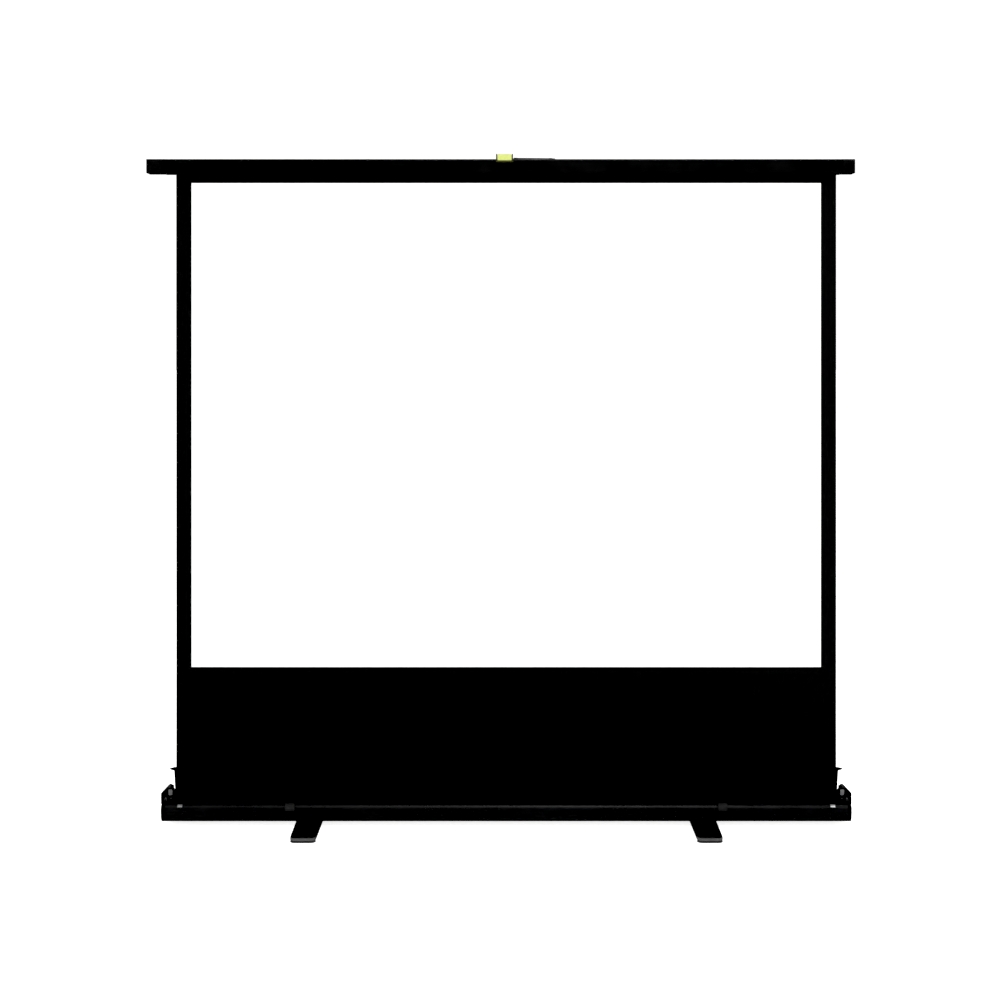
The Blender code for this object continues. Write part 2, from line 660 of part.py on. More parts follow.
def bar_cap(label, side, end, long):
    """A moulded end of the top bar, with two spigots beside the fins."""
    start = end + side * GAP
    ends = sorted((start, end + side * long))
    body = prism(bar_outer(BAR_Z + BAR_CAP_RISE), "X", ends[0], ends[1])
    cap = place(label + "_bar_cap", body, CAP_BLACK)
    z_high = BAR_TOP - BAR_WALL - GAP
    for way in (-1, 1):
        low, high = sorted((way * (FIN_OUTER + GAP), way * (BAR_HALF_DEPTH - BAR_WALL - GAP)))
        reach = sorted((start - side * BAR_SPIGOT_LONG, start + side * long / 2))
        join(cap, block(reach[0], reach[1], low, high, z_high - BAR_SPIGOT_HIGH, z_high))
    soften(cap, BAR_CAP_EDGE, 2, 60)


def bar_bracket(label, side):
    """The clevis under the bar's web that the upper arm hangs in."""
    top = BAR_TOP - BAR_WALL - GAP
    bottom = BAR_Z + PIN_IN_BAR - CHEEK_RADIUS * CHEEK_DROP_SHARE
    inner_front = UPPER_CHEEK_Y + CHEEK_THICK
    inner_back = BRACKET_BACK - CHEEK_THICK
    outline = [(UPPER_CHEEK_Y, bottom), (UPPER_CHEEK_Y, top), (BRACKET_BACK, top), (BRACKET_BACK, bottom),
               (inner_back, bottom), (inner_back, top - CHEEK_THICK), (inner_front, top - CHEEK_THICK),
               (inner_front, bottom)]
    mesh = side_prism(side, outline, ARM_X - BRACKET_HALF, ARM_X + BRACKET_HALF)
    bracket = place(label + "_bar_bracket", mesh, STEEL)
    centre = (side_x(side, ARM_X), 0, BAR_Z + PIN_IN_BAR)
    cut(bracket, rod(PIN_RADIUS + GAP, "Y", UPPER_CHEEK_Y - OVERRUN, BRACKET_BACK + OVERRUN, centre, 16))
    place(label + "_top_pin", rod(PIN_RADIUS, "Y", UPPER_CHEEK_Y, BRACKET_BACK, centre, 16), STEEL)


def arm_bracket(label, side):
    """The clevis on the case floor that carries the lower arm, its pin and the lift spring."""
    low, high = ARM_X - CHEEK_RADIUS, ARM_X + CHEEK_RADIUS
    bottom = FLOOR_Z + GAP
    spring_front = LOWER_CHEEK_Y - SPRING_PITCH * SPRING_CURLS - SPRING_END_ROOM
    mesh = side_block(side, ARM_X - BRACKET_HALF, ARM_X + BRACKET_HALF, spring_front, LOWER_CHEEK_BACK,
                      bottom, bottom + CHEEK_THICK)
    bracket = place(label + "_arm_bracket", mesh, STEEL)
    x = side_x(side, ARM_X)
    cheek = arc((x, ARM_Z), CHEEK_RADIUS, CHEEK_RADIUS, 0, 180, 8)
    ends = sorted((side_x(side, low), side_x(side, high)))
    cheek += [(ends[0], bottom + CHEEK_THICK / 2), (ends[1], bottom + CHEEK_THICK / 2)]
    for start in (LOWER_CHEEK_Y, LOWER_CHEEK_BACK - CHEEK_THICK):
        join(bracket, prism(cheek, "Y", start, start + CHEEK_THICK))
    cut(bracket, rod(PIN_RADIUS + GAP, "Y", LOWER_CHEEK_Y - OVERRUN, PIN_BACK, (x, 0, ARM_Z), 16))
    pin = [(PIN_RADIUS, spring_front), (PIN_RADIUS, LOWER_CHEEK_BACK + GAP),
           (PIN_HEAD_RADIUS, LOWER_CHEEK_BACK + GAP), (PIN_HEAD_RADIUS, PIN_BACK)]
    place(label + "_base_pin", turned(pin, "Y", (x, 0, ARM_Z), 16), STEEL)
    lift_spring(label, side, spring_front)


def lift_spring(label, side, front):
    """The coil on the base pin: one leg stands on the bracket, the other points up along the arm."""
    x = side_x(side, ARM_X)
    start = front + SPRING_END_ROOM / 2
    bottom = FLOOR_Z + GAP + CHEEK_THICK + GAP
    points = [(x - side * SPRING_RADIUS, start, bottom)]
    total = SPRING_CURLS * CURL_POINTS
    for step in range(total + 1):
        angle = math.pi + 2 * math.pi * step / CURL_POINTS
        points.append((x + side * SPRING_RADIUS * math.cos(angle), start + SPRING_PITCH * step / CURL_POINTS,
                       ARM_Z + SPRING_RADIUS * math.sin(-angle)))
    last = points[-1]
    points.append((last[0], last[1], ARM_Z + SPRING_ARM_LONG))
    tube_curve(label + "_lift_spring", points, SPRING_WIRE, STEEL)
    print_gap(label + " lift spring", points, 2 * SPRING_WIRE, CURL_POINTS)


def arm_direction(side, upper):
    """The turn about Y that lays an arm built along +X from its lower pin toward its upper one."""
    if (side < 0) != upper:
        return -ARM_ANGLE
    return -(math.pi - ARM_ANGLE)


def finish_arm(arm, turn, front):
    """Cut the pin holes and the long groove in the back, then turn the arm to its place."""
    back = front + ARM_THICK
    for along in (0, ARM_LONG):
        cut(arm, rod(PIN_RADIUS + GAP, "Y", front - OVERRUN, back + OVERRUN, (along, 0, 0), 16))
    start = ARM_HALF + ARM_GROOVE_START
    groove = block(start, ARM_LONG - start, back - ARM_GROOVE_DEEP, back + OVERRUN,
                   -ARM_GROOVE_HALF, ARM_GROOVE_HALF)
    cut(arm, groove)
    arm.rotation_euler = (0, turn, 0)


def lower_arm(label, side):
    """The lower arm, with the lug that carries its release lever."""
    pivot = (side_x(side, ARM_X), 0, ARM_Z)
    turn = arm_direction(side, False)
    arm = place(label + "_lower_arm", prism(stadium(ARM_HALF, ARM_LONG), "Y", LOWER_ARM_Y, LOWER_ARM_BACK),
                ARM_BLACK, pivot)
    out = lever_spot(side)
    lug_back = LOWER_ARM_Y + ARM_THICK * LUG_SHARE
    lug = arc(out, LEVER_BOSS, LEVER_BOSS, *((0, 180) if out[1] > 0 else (180, 360)))
    lug += [(out[0] - math.copysign(LEVER_BOSS, out[1]), 0), (out[0] + math.copysign(LEVER_BOSS, out[1]), 0)]
    join(arm, prism(lug, "Y", LOWER_ARM_Y, lug_back))
    cut(arm, rod(LEVER_PIN_RADIUS + GAP, "Y", LOWER_ARM_Y - OVERRUN, lug_back + OVERRUN,
                 (out[0], 0, out[1]), 12))
    finish_arm(arm, turn, LOWER_ARM_Y)


def upper_arm(label, side):
    turn = arm_direction(side, True)
    arm = place(label + "_upper_arm", prism(stadium(ARM_HALF, ARM_LONG), "Y", UPPER_ARM_Y, UPPER_ARM_BACK),
                ARM_BLACK, elbow(side))
    finish_arm(arm, turn, UPPER_ARM_Y)


def elbow(side):
    """The elbow's centre in the world, with the arms standing."""
    inward = ARM_LONG * math.cos(ARM_ANGLE)
    return Vector((side_x(side, ARM_X - inward), 0, ARM_Z + ARM_LONG * math.sin(ARM_ANGLE)))


def elbow_pin(label, side):
    front = UPPER_ARM_Y - GAP
    collar = (UPPER_ARM_BACK + GAP, LOWER_ARM_Y - GAP)
    back = LOWER_ARM_BACK + GAP
    profile = [(PIN_HEAD_RADIUS, front - PIN_HEAD_THICK), (PIN_HEAD_RADIUS, front), (PIN_RADIUS, front),
               (PIN_RADIUS, collar[0]), (COLLAR_RADIUS, collar[0]), (COLLAR_RADIUS, collar[1]),
               (PIN_RADIUS, collar[1]), (PIN_RADIUS, back), (PIN_HEAD_RADIUS, back),
               (PIN_HEAD_RADIUS, back + PIN_HEAD_THICK)]
    place(label + "_elbow_pin", turned(profile, "Y", elbow(side), 16), STEEL)


def lever_spot(side):
    """The lever's pivot in the lower arm's own x, z, on the arm's outer side."""
    return (LEVER_ALONG, -side * LEVER_OUT)


def lever_pivot(side):
    along, out = lever_spot(side)
    turn = Matrix.Rotation(arm_direction(side, False), 3, "Y")
    return Vector((side_x(side, ARM_X), 0, ARM_Z)) + turn @ Vector((along, 0, out))


def release_lever(label, side):
    """A blade that stands beside the arm, with a thumb tab that points outward."""
    y_low = LOWER_ARM_Y + ARM_THICK * LUG_SHARE + GAP
    y_high = LOWER_ARM_BACK
    pivot = lever_pivot(side)
    tab = LEVER_LONG - LEVER_TAB_HIGH
    outline = [(-LEVER_HALF, LEVER_BOSS / 2), (-LEVER_HALF, LEVER_LONG), (LEVER_HALF, LEVER_LONG),
               (LEVER_HALF + LEVER_TAB_LONG, LEVER_LONG - LEVER_TAB_HIGH / 4),
               (LEVER_HALF + LEVER_TAB_LONG, LEVER_LONG - LEVER_TAB_HIGH / 2), (LEVER_HALF, tab),
               (LEVER_HALF, LEVER_BOSS / 2)]
    outline = [(side * x, z) for x, z in outline]
    lever = place(label + "_release_lever", prism(outline, "Y", y_low, y_high), CAP_BLACK, pivot)
    join(lever, rod(LEVER_BOSS, "Y", y_low, y_high, (0, 0, 0), 16))
    cut(lever, rod(LEVER_PIN_RADIUS + GAP, "Y", y_low - OVERRUN, y_high + OVERRUN, (0, 0, 0), 12))
    lever.rotation_euler = (0, side * LEVER_SPLAY, 0)
    head = LEVER_BOSS - LEVER_PIN_RADIUS / 2
    profile = [(head, y_high + GAP + CHEEK_THICK / 2), (head, y_high + GAP), (LEVER_PIN_RADIUS, y_high + GAP),
               (LEVER_PIN_RADIUS, LOWER_ARM_Y)]
    place(label + "_lever_pin", turned(profile, "Y", pivot, 12), STEEL)


def latch(label, side):
    """A hook for the closed bar, built closed about its pin and then leaned open."""
    half = LATCH_WIDE / 2
    low = -LATCH_FOOT_RADIUS / 2
    top = HOOK_Z + LATCH_HOOK_THICK - LATCH_PIVOT_Z
    outline = [(-half, low), (half, low), (half, top - LATCH_CHAMFER_HIGH),
               (half - LATCH_CHAMFER_WIDE, top), (-half + LATCH_SHOULDER_WIDE, top)]
    outline += [(-half + LATCH_SHOULDER_WIDE * wide, top - LATCH_SHOULDER_HIGH * high)
                for wide, high in LATCH_SHOULDER_SHARES]
    outline += [(-half, top - LATCH_SHOULDER_HIGH)]
    outline = [(side * x, z) for x, z in outline]
    pivot = (side_x(side, LATCH_X), LATCH_PIVOT_Y, LATCH_PIVOT_Z)
    front = -LATCH_THICK / 2
    back = LATCH_THICK / 2
    hook_back = -BAR_HALF_DEPTH + LATCH_HOOK_REACH - LATCH_PIVOT_Y
    piece = place(label + "_latch", prism(outline, "Y", front, hook_back), CAP_BLACK, pivot)
    relief = block(-LATCH_WIDE, LATCH_WIDE, back, hook_back + OVERRUN, -LATCH_WIDE, HOOK_Z - LATCH_PIVOT_Z)
    cut(piece, relief)
    join(piece, rod(LATCH_FOOT_RADIUS, "X", -half, half, (0, 0, 0), 16))
    plate_low = PLATE_RISE - PLATE_HIGH / 2
    plate_high = PLATE_RISE + PLATE_HIGH / 2
    plate_ends = sorted(side * (PLATE_OUT + way * PLATE_WIDE / 2) for way in SIDES.values())
    pocket = rounded_box((plate_ends[0] - GAP, plate_low - GAP), (plate_ends[1] + GAP, plate_high + GAP),
                         PLATE_CORNER + GAP)
    cut(piece, prism(pocket, "Y", front - OVERRUN, front + PLATE_THICK / 2 + GAP))
    cut(piece, rod(LATCH_PIN_RADIUS + GAP, "X", -LATCH_WIDE, LATCH_WIDE, (0, 0, 0), 12))
    soften(piece, END_CAP_EDGE, 1, 60)
    face = rounded_box((plate_ends[0], plate_low), (plate_ends[1], plate_high), PLATE_CORNER)
    plate = place(label + "_latch_plate", prism(face, "Y", front - PLATE_THICK / 2, front + PLATE_THICK / 2),
                  STEEL, pivot)
    for leaned in (piece, plate):
        leaned.rotation_euler = (LATCH_OPEN, 0, 0)
    pin_low = -half - KNUCKLE_WIDE
    pin_high = half + END_CAP_THICK / 2
    ends = sorted((side * pin_low, side * pin_high))
    place(label + "_latch_pin", rod(LATCH_PIN_RADIUS, "X", ends[0], ends[1], pivot, 12), STEEL)


def level():
    """The holder in the bar's notch, with a tab that lies on the bar behind it, and its vial."""
    top = LEVEL_Z + LEVEL_HIGH
    body = block(LEVEL_LEFT, LEVEL_RIGHT, LEVEL_FRONT, LEVEL_BACK, LEVEL_Z, top)
    holder = place("level_holder", body, CAP_BLACK)
    soften(holder, END_CAP_EDGE / 2, 1, 60)
    tab = BAR_TOP + GAP
    join(holder, block(LEVEL_LEFT, LEVEL_RIGHT, LEVEL_BACK - LEVEL_POST, LEVEL_BACK + LEVEL_TAB_DEEP,
                       tab, tab + LEVEL_TAB_THICK))
    low, high = LEVEL_LEFT + LEVEL_POST, LEVEL_RIGHT - LEVEL_POST
    cut(holder, block(low, high, LEVEL_FRONT - OVERRUN, LEVEL_BACK + GAP, LEVEL_Z + LEVEL_BASE, top + OVERRUN))
    face = rounded_box((LEVEL_FRONT + GAP, LEVEL_Z + LEVEL_BASE + GAP), (LEVEL_BACK - GAP, top - VIAL_DROP),
                       VIAL_EDGE)
    place("level_vial", prism(face, "X", low + GAP, high - GAP), VIAL_GREEN)


def carry_handle():
    """The handle lies on the bar, and turns up about the pins of its two mounts."""
    pivot_y = BAR_HALF_DEPTH - MOUNT_DEEP / 2 - HANDLE_SETBACK
    pivot_z = BAR_TOP + GAP + HANDLE_LIFT + HANDLE_THICK / 2
    half = HANDLE_LONG / 2
    inner = half - HANDLE_LEG
    bottom = -HANDLE_THICK / 2
    heights = (HANDLE_THICK, HANDLE_THIN)
    grip = block(-half + HANDLE_LEG / 2, half - HANDLE_LEG / 2, -HANDLE_DEEP + HANDLE_STEP,
                 -HANDLE_DEEP + HANDLE_GRIP, bottom + HANDLE_STEP, 0)
    for spot in grip.vertices:
        if spot.co.z == 0:
            spot.co.z = bottom + heights[spot.co.x > 0] - HANDLE_STEP
    handle = place("carry_handle", grip, CAP_BLACK, (HANDLE_X, pivot_y, pivot_z))
    for way, high in zip((-1, 1), heights):
        ends = sorted((way * inner, way * half))
        leg = block(ends[0], ends[1], -HANDLE_DEEP, HANDLE_STEP, bottom, bottom + high)
        join(handle, leg, rod(HANDLE_BOSS, "X", ends[0], ends[1], (0, 0, 0), 12))
        cut(handle, rod(MOUNT_PIN + GAP, "X", ends[0] - OVERRUN, ends[1] + OVERRUN, (0, 0, 0), 12))
    for label, side in SIDES.items():
        start, end = sorted((side * (half + GAP), side * (half + GAP + MOUNT_LONG)))
        body = block(HANDLE_X + start, HANDLE_X + end, pivot_y - MOUNT_DEEP / 2, pivot_y + MOUNT_DEEP / 2,
                     BAR_TOP + GAP, pivot_z + HANDLE_THICK / 2)
        mount = place(label + "_handle_mount", body, CAP_BLACK)
        pin = sorted((side * (half - HANDLE_LEG), side * (half + GAP + MOUNT_LONG / 2)))
        join(mount, rod(MOUNT_PIN, "X", pin[0], pin[1], (HANDLE_X, pivot_y, pivot_z), 12))


def foot(label, side):
    """A flat foot that swivels on its bolt, with a rubber tip on each end."""
    pivot = Vector((side_x(side, FOOT_X), FOOT_Y, 0))
    bottom, top = TIP_SOLE, TIP_SOLE + FOOT_THICK
    ends = (-FOOT_FRONT + TIP_LONG, FOOT_BACK - TIP_LONG)
    outline = [(-FOOT_TIP_HALF, ends[0]), (FOOT_TIP_HALF, ends[0]), (FOOT_HALF, 0), (FOOT_TIP_HALF, ends[1]),
               (-FOOT_TIP_HALF, ends[1]), (-FOOT_HALF, 0)]
    piece = place(label + "_foot", prism(outline, "Z", bottom, top), CAP_BLACK, pivot)
    soften(piece, FOOT_EDGE, 1, 60)
    tongue_half = FOOT_TIP_HALF - TONGUE_SIDE
    tongue = block(-tongue_half, tongue_half, ends[0] - TONGUE_LONG, ends[1] + TONGUE_LONG,
                   bottom + TONGUE_SKIN, top - TONGUE_SKIN)
    join(piece, tongue)
    cut(piece, rod(BOLT_RADIUS + GAP, "Z", bottom - OVERRUN, top + OVERRUN, (0, 0, 0), 16))
    for word, way, end in (("front", -1, -FOOT_FRONT), ("rear", 1, FOOT_BACK)):
        seam = end - way * (TIP_LONG - GAP)
        spread = sorted((end, seam - way * TIP_CORNER))
        nose = rounded_box((-FOOT_TIP_HALF, spread[0]), (FOOT_TIP_HALF, spread[1]), TIP_CORNER, 4)
        tip = place(label + "_" + word + "_tip", prism(nose, "Z", 0, top), RUBBER_BLACK, pivot)
        soften(tip, TIP_EDGE, 2, 60)
        behind = sorted((seam, seam - way * FOOT_FRONT))
        pocket_end = sorted((seam - way * OVERRUN, seam + way * (TONGUE_LONG + GAP)))
        cut(tip, block(-FOOT_HALF - OVERRUN, FOOT_HALF + OVERRUN, behind[0], behind[1],
                       -OVERRUN, top + OVERRUN),
            block(-tongue_half - GAP, tongue_half + GAP, pocket_end[0], pocket_end[1],
                  bottom + TONGUE_SKIN - GAP, top - TONGUE_SKIN + GAP))
    head_top = bottom - GAP
    nut = FLOOR_Z + GAP
    profile = [(BOLT_HEAD_RADIUS, head_top - BOLT_HEAD_THICK), (BOLT_HEAD_RADIUS, head_top),
               (BOLT_RADIUS, head_top), (BOLT_RADIUS, nut), (NUT_RADIUS, nut), (NUT_RADIUS, nut + NUT_THICK)]
    place(label + "_foot_bolt", turned(profile, "Z", pivot, 16), STEEL)


def build():
    start_clean()
    case_shell()
    roller()
    roller_wrap()
    winding_spring()
    screen_cloth()
    top_bar()
    bar_cap("left", -1, BAR_LEFT, BAR_CAP_LEFT)
    bar_cap("right", 1, BAR_RIGHT, BAR_CAP_RIGHT)
    level()
    carry_handle()
    for label, side in SIDES.items():
        end_cap(label, side)
        lip_pad(label + "_lip_clip", side, CLOTH_HALF - CLIP_FROM_EDGE, CLIP_WIDE, CLIP_THICK, CLIP_SPREAD,
                STEEL)
        bumper = lip_pad(label + "_bumper", side, BUMPER_X, BUMPER_WIDE, BUMPER_THICK, BUMPER_SPREAD,
                         RUBBER_BLACK)
        soften(bumper, BUMPER_EDGE, 2, 60)
        roller_bracket(label, side)
        bar_bracket(label, side)
        arm_bracket(label, side)
        lower_arm(label, side)
        upper_arm(label, side)
        elbow_pin(label, side)
        release_lever(label, side)
        latch(label, side)
        foot(label, side)


build()
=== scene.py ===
"""Looks for the portable projector screen: finishes, screen cloth, small fittings, light and camera."""
import math

import bmesh
import bpy
from mathutils import Matrix, Vector, noise


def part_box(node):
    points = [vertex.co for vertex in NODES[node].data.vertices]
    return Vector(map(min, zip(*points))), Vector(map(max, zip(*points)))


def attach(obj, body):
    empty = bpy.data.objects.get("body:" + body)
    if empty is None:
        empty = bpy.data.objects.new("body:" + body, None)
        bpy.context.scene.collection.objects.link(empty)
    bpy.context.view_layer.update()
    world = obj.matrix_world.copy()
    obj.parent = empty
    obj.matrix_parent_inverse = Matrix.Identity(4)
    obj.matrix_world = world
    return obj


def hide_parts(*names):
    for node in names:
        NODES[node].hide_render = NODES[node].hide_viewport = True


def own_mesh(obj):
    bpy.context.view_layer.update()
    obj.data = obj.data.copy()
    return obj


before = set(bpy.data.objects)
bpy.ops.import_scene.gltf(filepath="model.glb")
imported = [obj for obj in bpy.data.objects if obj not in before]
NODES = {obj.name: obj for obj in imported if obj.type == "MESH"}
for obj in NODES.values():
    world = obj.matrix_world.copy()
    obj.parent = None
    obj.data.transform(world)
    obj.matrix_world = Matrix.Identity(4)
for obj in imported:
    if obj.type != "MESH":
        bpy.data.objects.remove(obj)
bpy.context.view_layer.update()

SIDES = {"left": -1, "right": 1}

# Places and sizes that the solids' boxes don't give, in metres. Angles are in degrees.

CASE_X = 0.014  # the case's middle
CASE_MOUTH = 0.06  # the height below which the cloth hangs inside the case
CAP_FACE = 0.8663  # from the case's middle to an end cap's outer face
CAP_SCREWS = ((0.0385, 0.0215), (0.0385, 0.0500), (-0.0330, 0.0300))  # y and z of each
ARM_RIVET_ROWS = (0.0128, 0.0296)  # y of each
ARM_BRACKET_TOP = 0.0183
ROLLER_BRACKET_TOP = 0.0188
ROLLER_AXIS = (-0.01755, 0.037031)  # y and z
BASE_PIN_X = 0.827  # from the case's middle
BASE_PIN_Z = 0.036161
LATCH_LEAN = 12
LATCH_FRONT = 0.007  # from the latch pin to the latch's leaning face
EAR_RIVET_OUT = 0.0052  # from the latch's side
EAR_RIVET_DROP = 0.0018  # below the latch pin
LEVEL_BORE = 0.0046
LEVEL_TAB_TOP = 1.684211
BUBBLE = (0.0046, 0.0028, 0.0017)  # half of each size
BUBBLE_SHIFT = (0.0009, 0, 0.0026)  # from the level's middle
TIP_CORNER = 0.014
YARN_PITCH = 0.0007
EDGE_ANGLE = 32  # flatter edges of the solids stay sharp
WELD_REACH = 0.000005

# Profiles of turned forms: each point's radius, and its reach along the axis

RIVET = [(0.0036, -0.0006), (0.0036, 0.0), (0.0031, 0.0008), (0.0020, 0.0013), (0.0006, 0.0016)]
SMALL_RIVET = [(0.0022, 0.0), (0.0021, 0.0005), (0.0016, 0.0010), (0.0008, 0.0013)]
WASHER = [(0.0044, -0.0002), (0.0044, 0.0002), (0.0036, 0.0004), (0.0033, 0.0002)]
PIN_CAP = [(0.0064, -0.0004), (0.0064, 0.0), (0.0058, 0.0005), (0.0044, 0.0009), (0.0022, 0.0012),
           (0.0004, 0.0013)]

# A foot tip's mouldings: each level's height, and how far it is drawn in. The band's grey is partly a
# painted highlight, the sole's paler grey partly painted light, and the black core is painted shade in the
# groove

TIP_MOULDINGS = (
    # The sole: pale grey rubber, partly painted light at its shaded bottom edge.
    ("_sole_painted_light", "sole", [(0.0, 0.0009), (0.0003, 0.0003), (0.0007, 0.0), (0.0021, 0.0), (0.0026, 0.0005)]),
    # The core: black rubber set back in the groove, its black painted shade for the recess.
    ("_core_painted_shade", "rubber", [(0.0026, 0.0013), (0.0030, 0.0017), (0.0052, 0.0017), (0.0055, 0.0013)]),
    # The band: grey rubber, its lighter grey partly a painted highlight.
    ("_band_painted_highlight", "tip", [(0.0055, 0.0006), (0.0058, 0.0001), (0.0063, 0.0), (0.0104, 0.0), (0.0116, 0.0005),
                      (0.0121, 0.0010)]),
    ("_nose", "plastic", [(0.0121, 0.0012), (0.0128, 0.0019), (0.0134, 0.0032), (0.0137, 0.0052)]),
)


# Materials

def start_material(name, colour, roughness, metallic=0.0, **sockets):
    """A Principled material and its tree. Values that are the same all over go on the shader itself."""
    made = bpy.data.materials.new(name)
    made.use_nodes = True
    shader = made.node_tree.nodes["Principled BSDF"]
    shader.inputs["Base Color"].default_value = (*colour, 1)
    shader.inputs["Roughness"].default_value = roughness
    shader.inputs["Metallic"].default_value = metallic
    for socket, value in sockets.items():
        shader.inputs[socket.replace("_", " ")].default_value = value
    return made, made.node_tree, shader


def spots(tree, stretch=(1, 1, 1)):
    """The rest position of each point in metres, stretched along the axes."""
    where = tree.nodes.new("ShaderNodeTexCoord")
    move = tree.nodes.new("ShaderNodeMapping")
    move.inputs["Scale"].default_value = stretch
    tree.links.new(where.outputs["Object"], move.inputs["Vector"])
    return move.outputs["Vector"]


def cloudy(tree, scale, detail, rough=0.55, stretch=(1, 1, 1)):
    node = tree.nodes.new("ShaderNodeTexNoise")
    node.inputs["Scale"].default_value = scale
    node.inputs["Detail"].default_value = detail
    node.inputs["Roughness"].default_value = rough
    tree.links.new(spots(tree, stretch), node.inputs["Vector"])
    return node.outputs["Fac"]


def cells(tree, scale, output="Color"):
    node = tree.nodes.new("ShaderNodeTexVoronoi")
    node.inputs["Scale"].default_value = scale
    tree.links.new(spots(tree), node.inputs["Vector"])
    return node.outputs[output]


def remap(tree, value, low, high, to_low=0.0, to_high=1.0):
    node = tree.nodes.new("ShaderNodeMapRange")
    for socket, number in zip(("From Min", "From Max", "To Min", "To Max"), (low, high, to_low, to_high)):
        node.inputs[socket].default_value = number
    tree.links.new(value, node.inputs["Value"])
    return node.outputs["Result"]


def blend_colours(tree, factor, first, second):
    """Mix two colours, each given as numbers or as a link."""
    node = tree.nodes.new("ShaderNodeMix")
    node.data_type = "RGBA"
    tree.links.new(factor, node.inputs[0])
    for socket, colour in ((node.inputs[6], first), (node.inputs[7], second)):
        if isinstance(colour, tuple):
            socket.default_value = (*colour, 1)
        else:
            tree.links.new(colour, socket)
    return node.outputs[2]


def combined(tree, operation, first, second):
    """The result of a Math node for two values, each given as a number or as a link."""
    node = tree.nodes.new("ShaderNodeMath")
    node.operation = operation
    for socket, value in zip(node.inputs, (first, second)):
        if isinstance(value, (int, float)):
            socket.default_value = value
        else:
            tree.links.new(value, socket)
    return node.outputs[0]


def surface(tree, shader, colour, roughness):
    tree.links.new(colour, shader.inputs["Base Color"])
    tree.links.new(roughness, shader.inputs["Roughness"])


def bumps(tree, shader, height, strength, distance, under=None):
    node = tree.nodes.new("ShaderNodeBump")
    node.inputs["Strength"].default_value = strength
    node.inputs["Distance"].default_value = distance
    tree.links.new(height, node.inputs["Height"])
    if under:
        tree.links.new(under, node.inputs["Normal"])
    tree.links.new(node.outputs["Normal"], shader.inputs["Normal"])
    return node.outputs["Normal"]


def extruded_metal(name, colour, light, roughness, gloss=0.32, metallic=0.0):
    """Satin anodised aluminium: drawing lines along the extrusion, faint blotches and rubbed streaks."""
    made, tree, shader = start_material(name, colour, roughness, metallic, Specular_IOR_Level=gloss)
    lines = cloudy(tree, 1.0, 2.0, 0.5, (2.5, 900, 900))
    blotch = cloudy(tree, 14.0, 4.0, 0.6)
    rub = remap(tree, cloudy(tree, 1.0, 5.0, 0.7, (9, 160, 160)), 0.58, 0.72)
    shade = blend_colours(tree, remap(tree, blotch, 0.3, 0.7, 0.0, 0.6), colour, light)
    rubbed = blend_colours(tree, combined(tree, "MULTIPLY", rub, 0.35), shade, light)
    rough = remap(tree, blotch, 0.25, 0.75, roughness - 0.04, roughness + 0.06)
    polished = combined(tree, "SUBTRACT", rough, combined(tree, "MULTIPLY", rub, 0.04))
    surface(tree, shader, rubbed, polished)
    bumps(tree, shader, lines, 0.35, 0.00006)
    return made


def moulded_plastic(name, colour, light, roughness, grain=2300.0, gloss=0.22):
    """Spark-eroded moulding: fine even grain, soft flow marks and polished rubs."""
    made, tree, shader = start_material(name, colour, roughness, Specular_IOR_Level=gloss)
    fine = cloudy(tree, grain, 2.0, 0.6)
    flow = cloudy(tree, 32.0, 4.0, 0.6)
    rub = remap(tree, cloudy(tree, 1.0, 4.0, 0.65, (70, 260, 150)), 0.6, 0.74)
    shade = blend_colours(tree, remap(tree, flow, 0.35, 0.7, 0.0, 0.7), colour, light)
    rough = remap(tree, flow, 0.25, 0.75, roughness - 0.05, roughness + 0.06)
    polished = combined(tree, "SUBTRACT", rough, combined(tree, "MULTIPLY", rub, 0.12))
    surface(tree, shader, shade, polished)
    bumps(tree, shader, fine, 0.4, 0.00012)
    return made


def rubber_like(name, colour, light):
    """Matt moulded rubber with fine pores and a dusty bloom."""
    made, tree, shader = start_material(name, colour, 0.78, Specular_IOR_Level=0.3)
    pores = cells(tree, 1400.0, "Distance")
    bloom = cloudy(tree, 60.0, 5.0, 0.65)
    shade = blend_colours(tree, remap(tree, bloom, 0.4, 0.75), colour, light)
    surface(tree, shader, shade, remap(tree, bloom, 0.3, 0.7, 0.68, 0.86))
    bumps(tree, shader, pores, 0.5, 0.0001)
    return made


def plated_steel(name, colour, dark, roughness, spangle=420.0, metallic=1.0):
    """Zinc-plated steel: faint spangle, cloudy passivation and fine handling scratches."""
    made, tree, shader = start_material(name, colour, roughness, metallic)
    grains = cells(tree, spangle)
    cloud = cloudy(tree, 90.0, 4.0, 0.6)
    scratch = remap(tree, cloudy(tree, 1.0, 6.0, 0.75, (700, 60, 1900)), 0.62, 0.7)
    tone = blend_colours(tree, remap(tree, cloud, 0.35, 0.7), colour, dark)
    scratched = blend_colours(tree, combined(tree, "MULTIPLY", scratch, 0.25), tone, (0.8, 0.8, 0.8))
    rough = remap(tree, grains, 0.0, 1.0, roughness - 0.06, roughness + 0.08)
    rougher = combined(tree, "ADD", rough, combined(tree, "MULTIPLY", scratch, 0.1))
    surface(tree, shader, scratched, rougher)
    bumps(tree, shader, combined(tree, "ADD", cloud, scratch), 0.12, 0.00005)
    return made


def powder_coat(name, colour, light):
    """Powder-coated arms: orange peel and a fine speckle."""
    made, tree, shader = start_material(name, colour, 0.42, Specular_IOR_Level=0.5)
    peel = cloudy(tree, 620.0, 2.0, 0.5)
    speckle = remap(tree, cloudy(tree, 2600.0, 1.0, 0.5), 0.62, 0.72)
    blotch = cloudy(tree, 18.0, 4.0, 0.6)
    shade = blend_colours(tree, remap(tree, blotch, 0.35, 0.7, 0.0, 0.6), colour, light)
    speckled = blend_colours(tree, combined(tree, "MULTIPLY", speckle, 0.5), shade, light)
    surface(tree, shader, speckled, remap(tree, blotch, 0.3, 0.7, 0.36, 0.5))
    bumps(tree, shader, peel, 0.3, 0.00015)
    return made


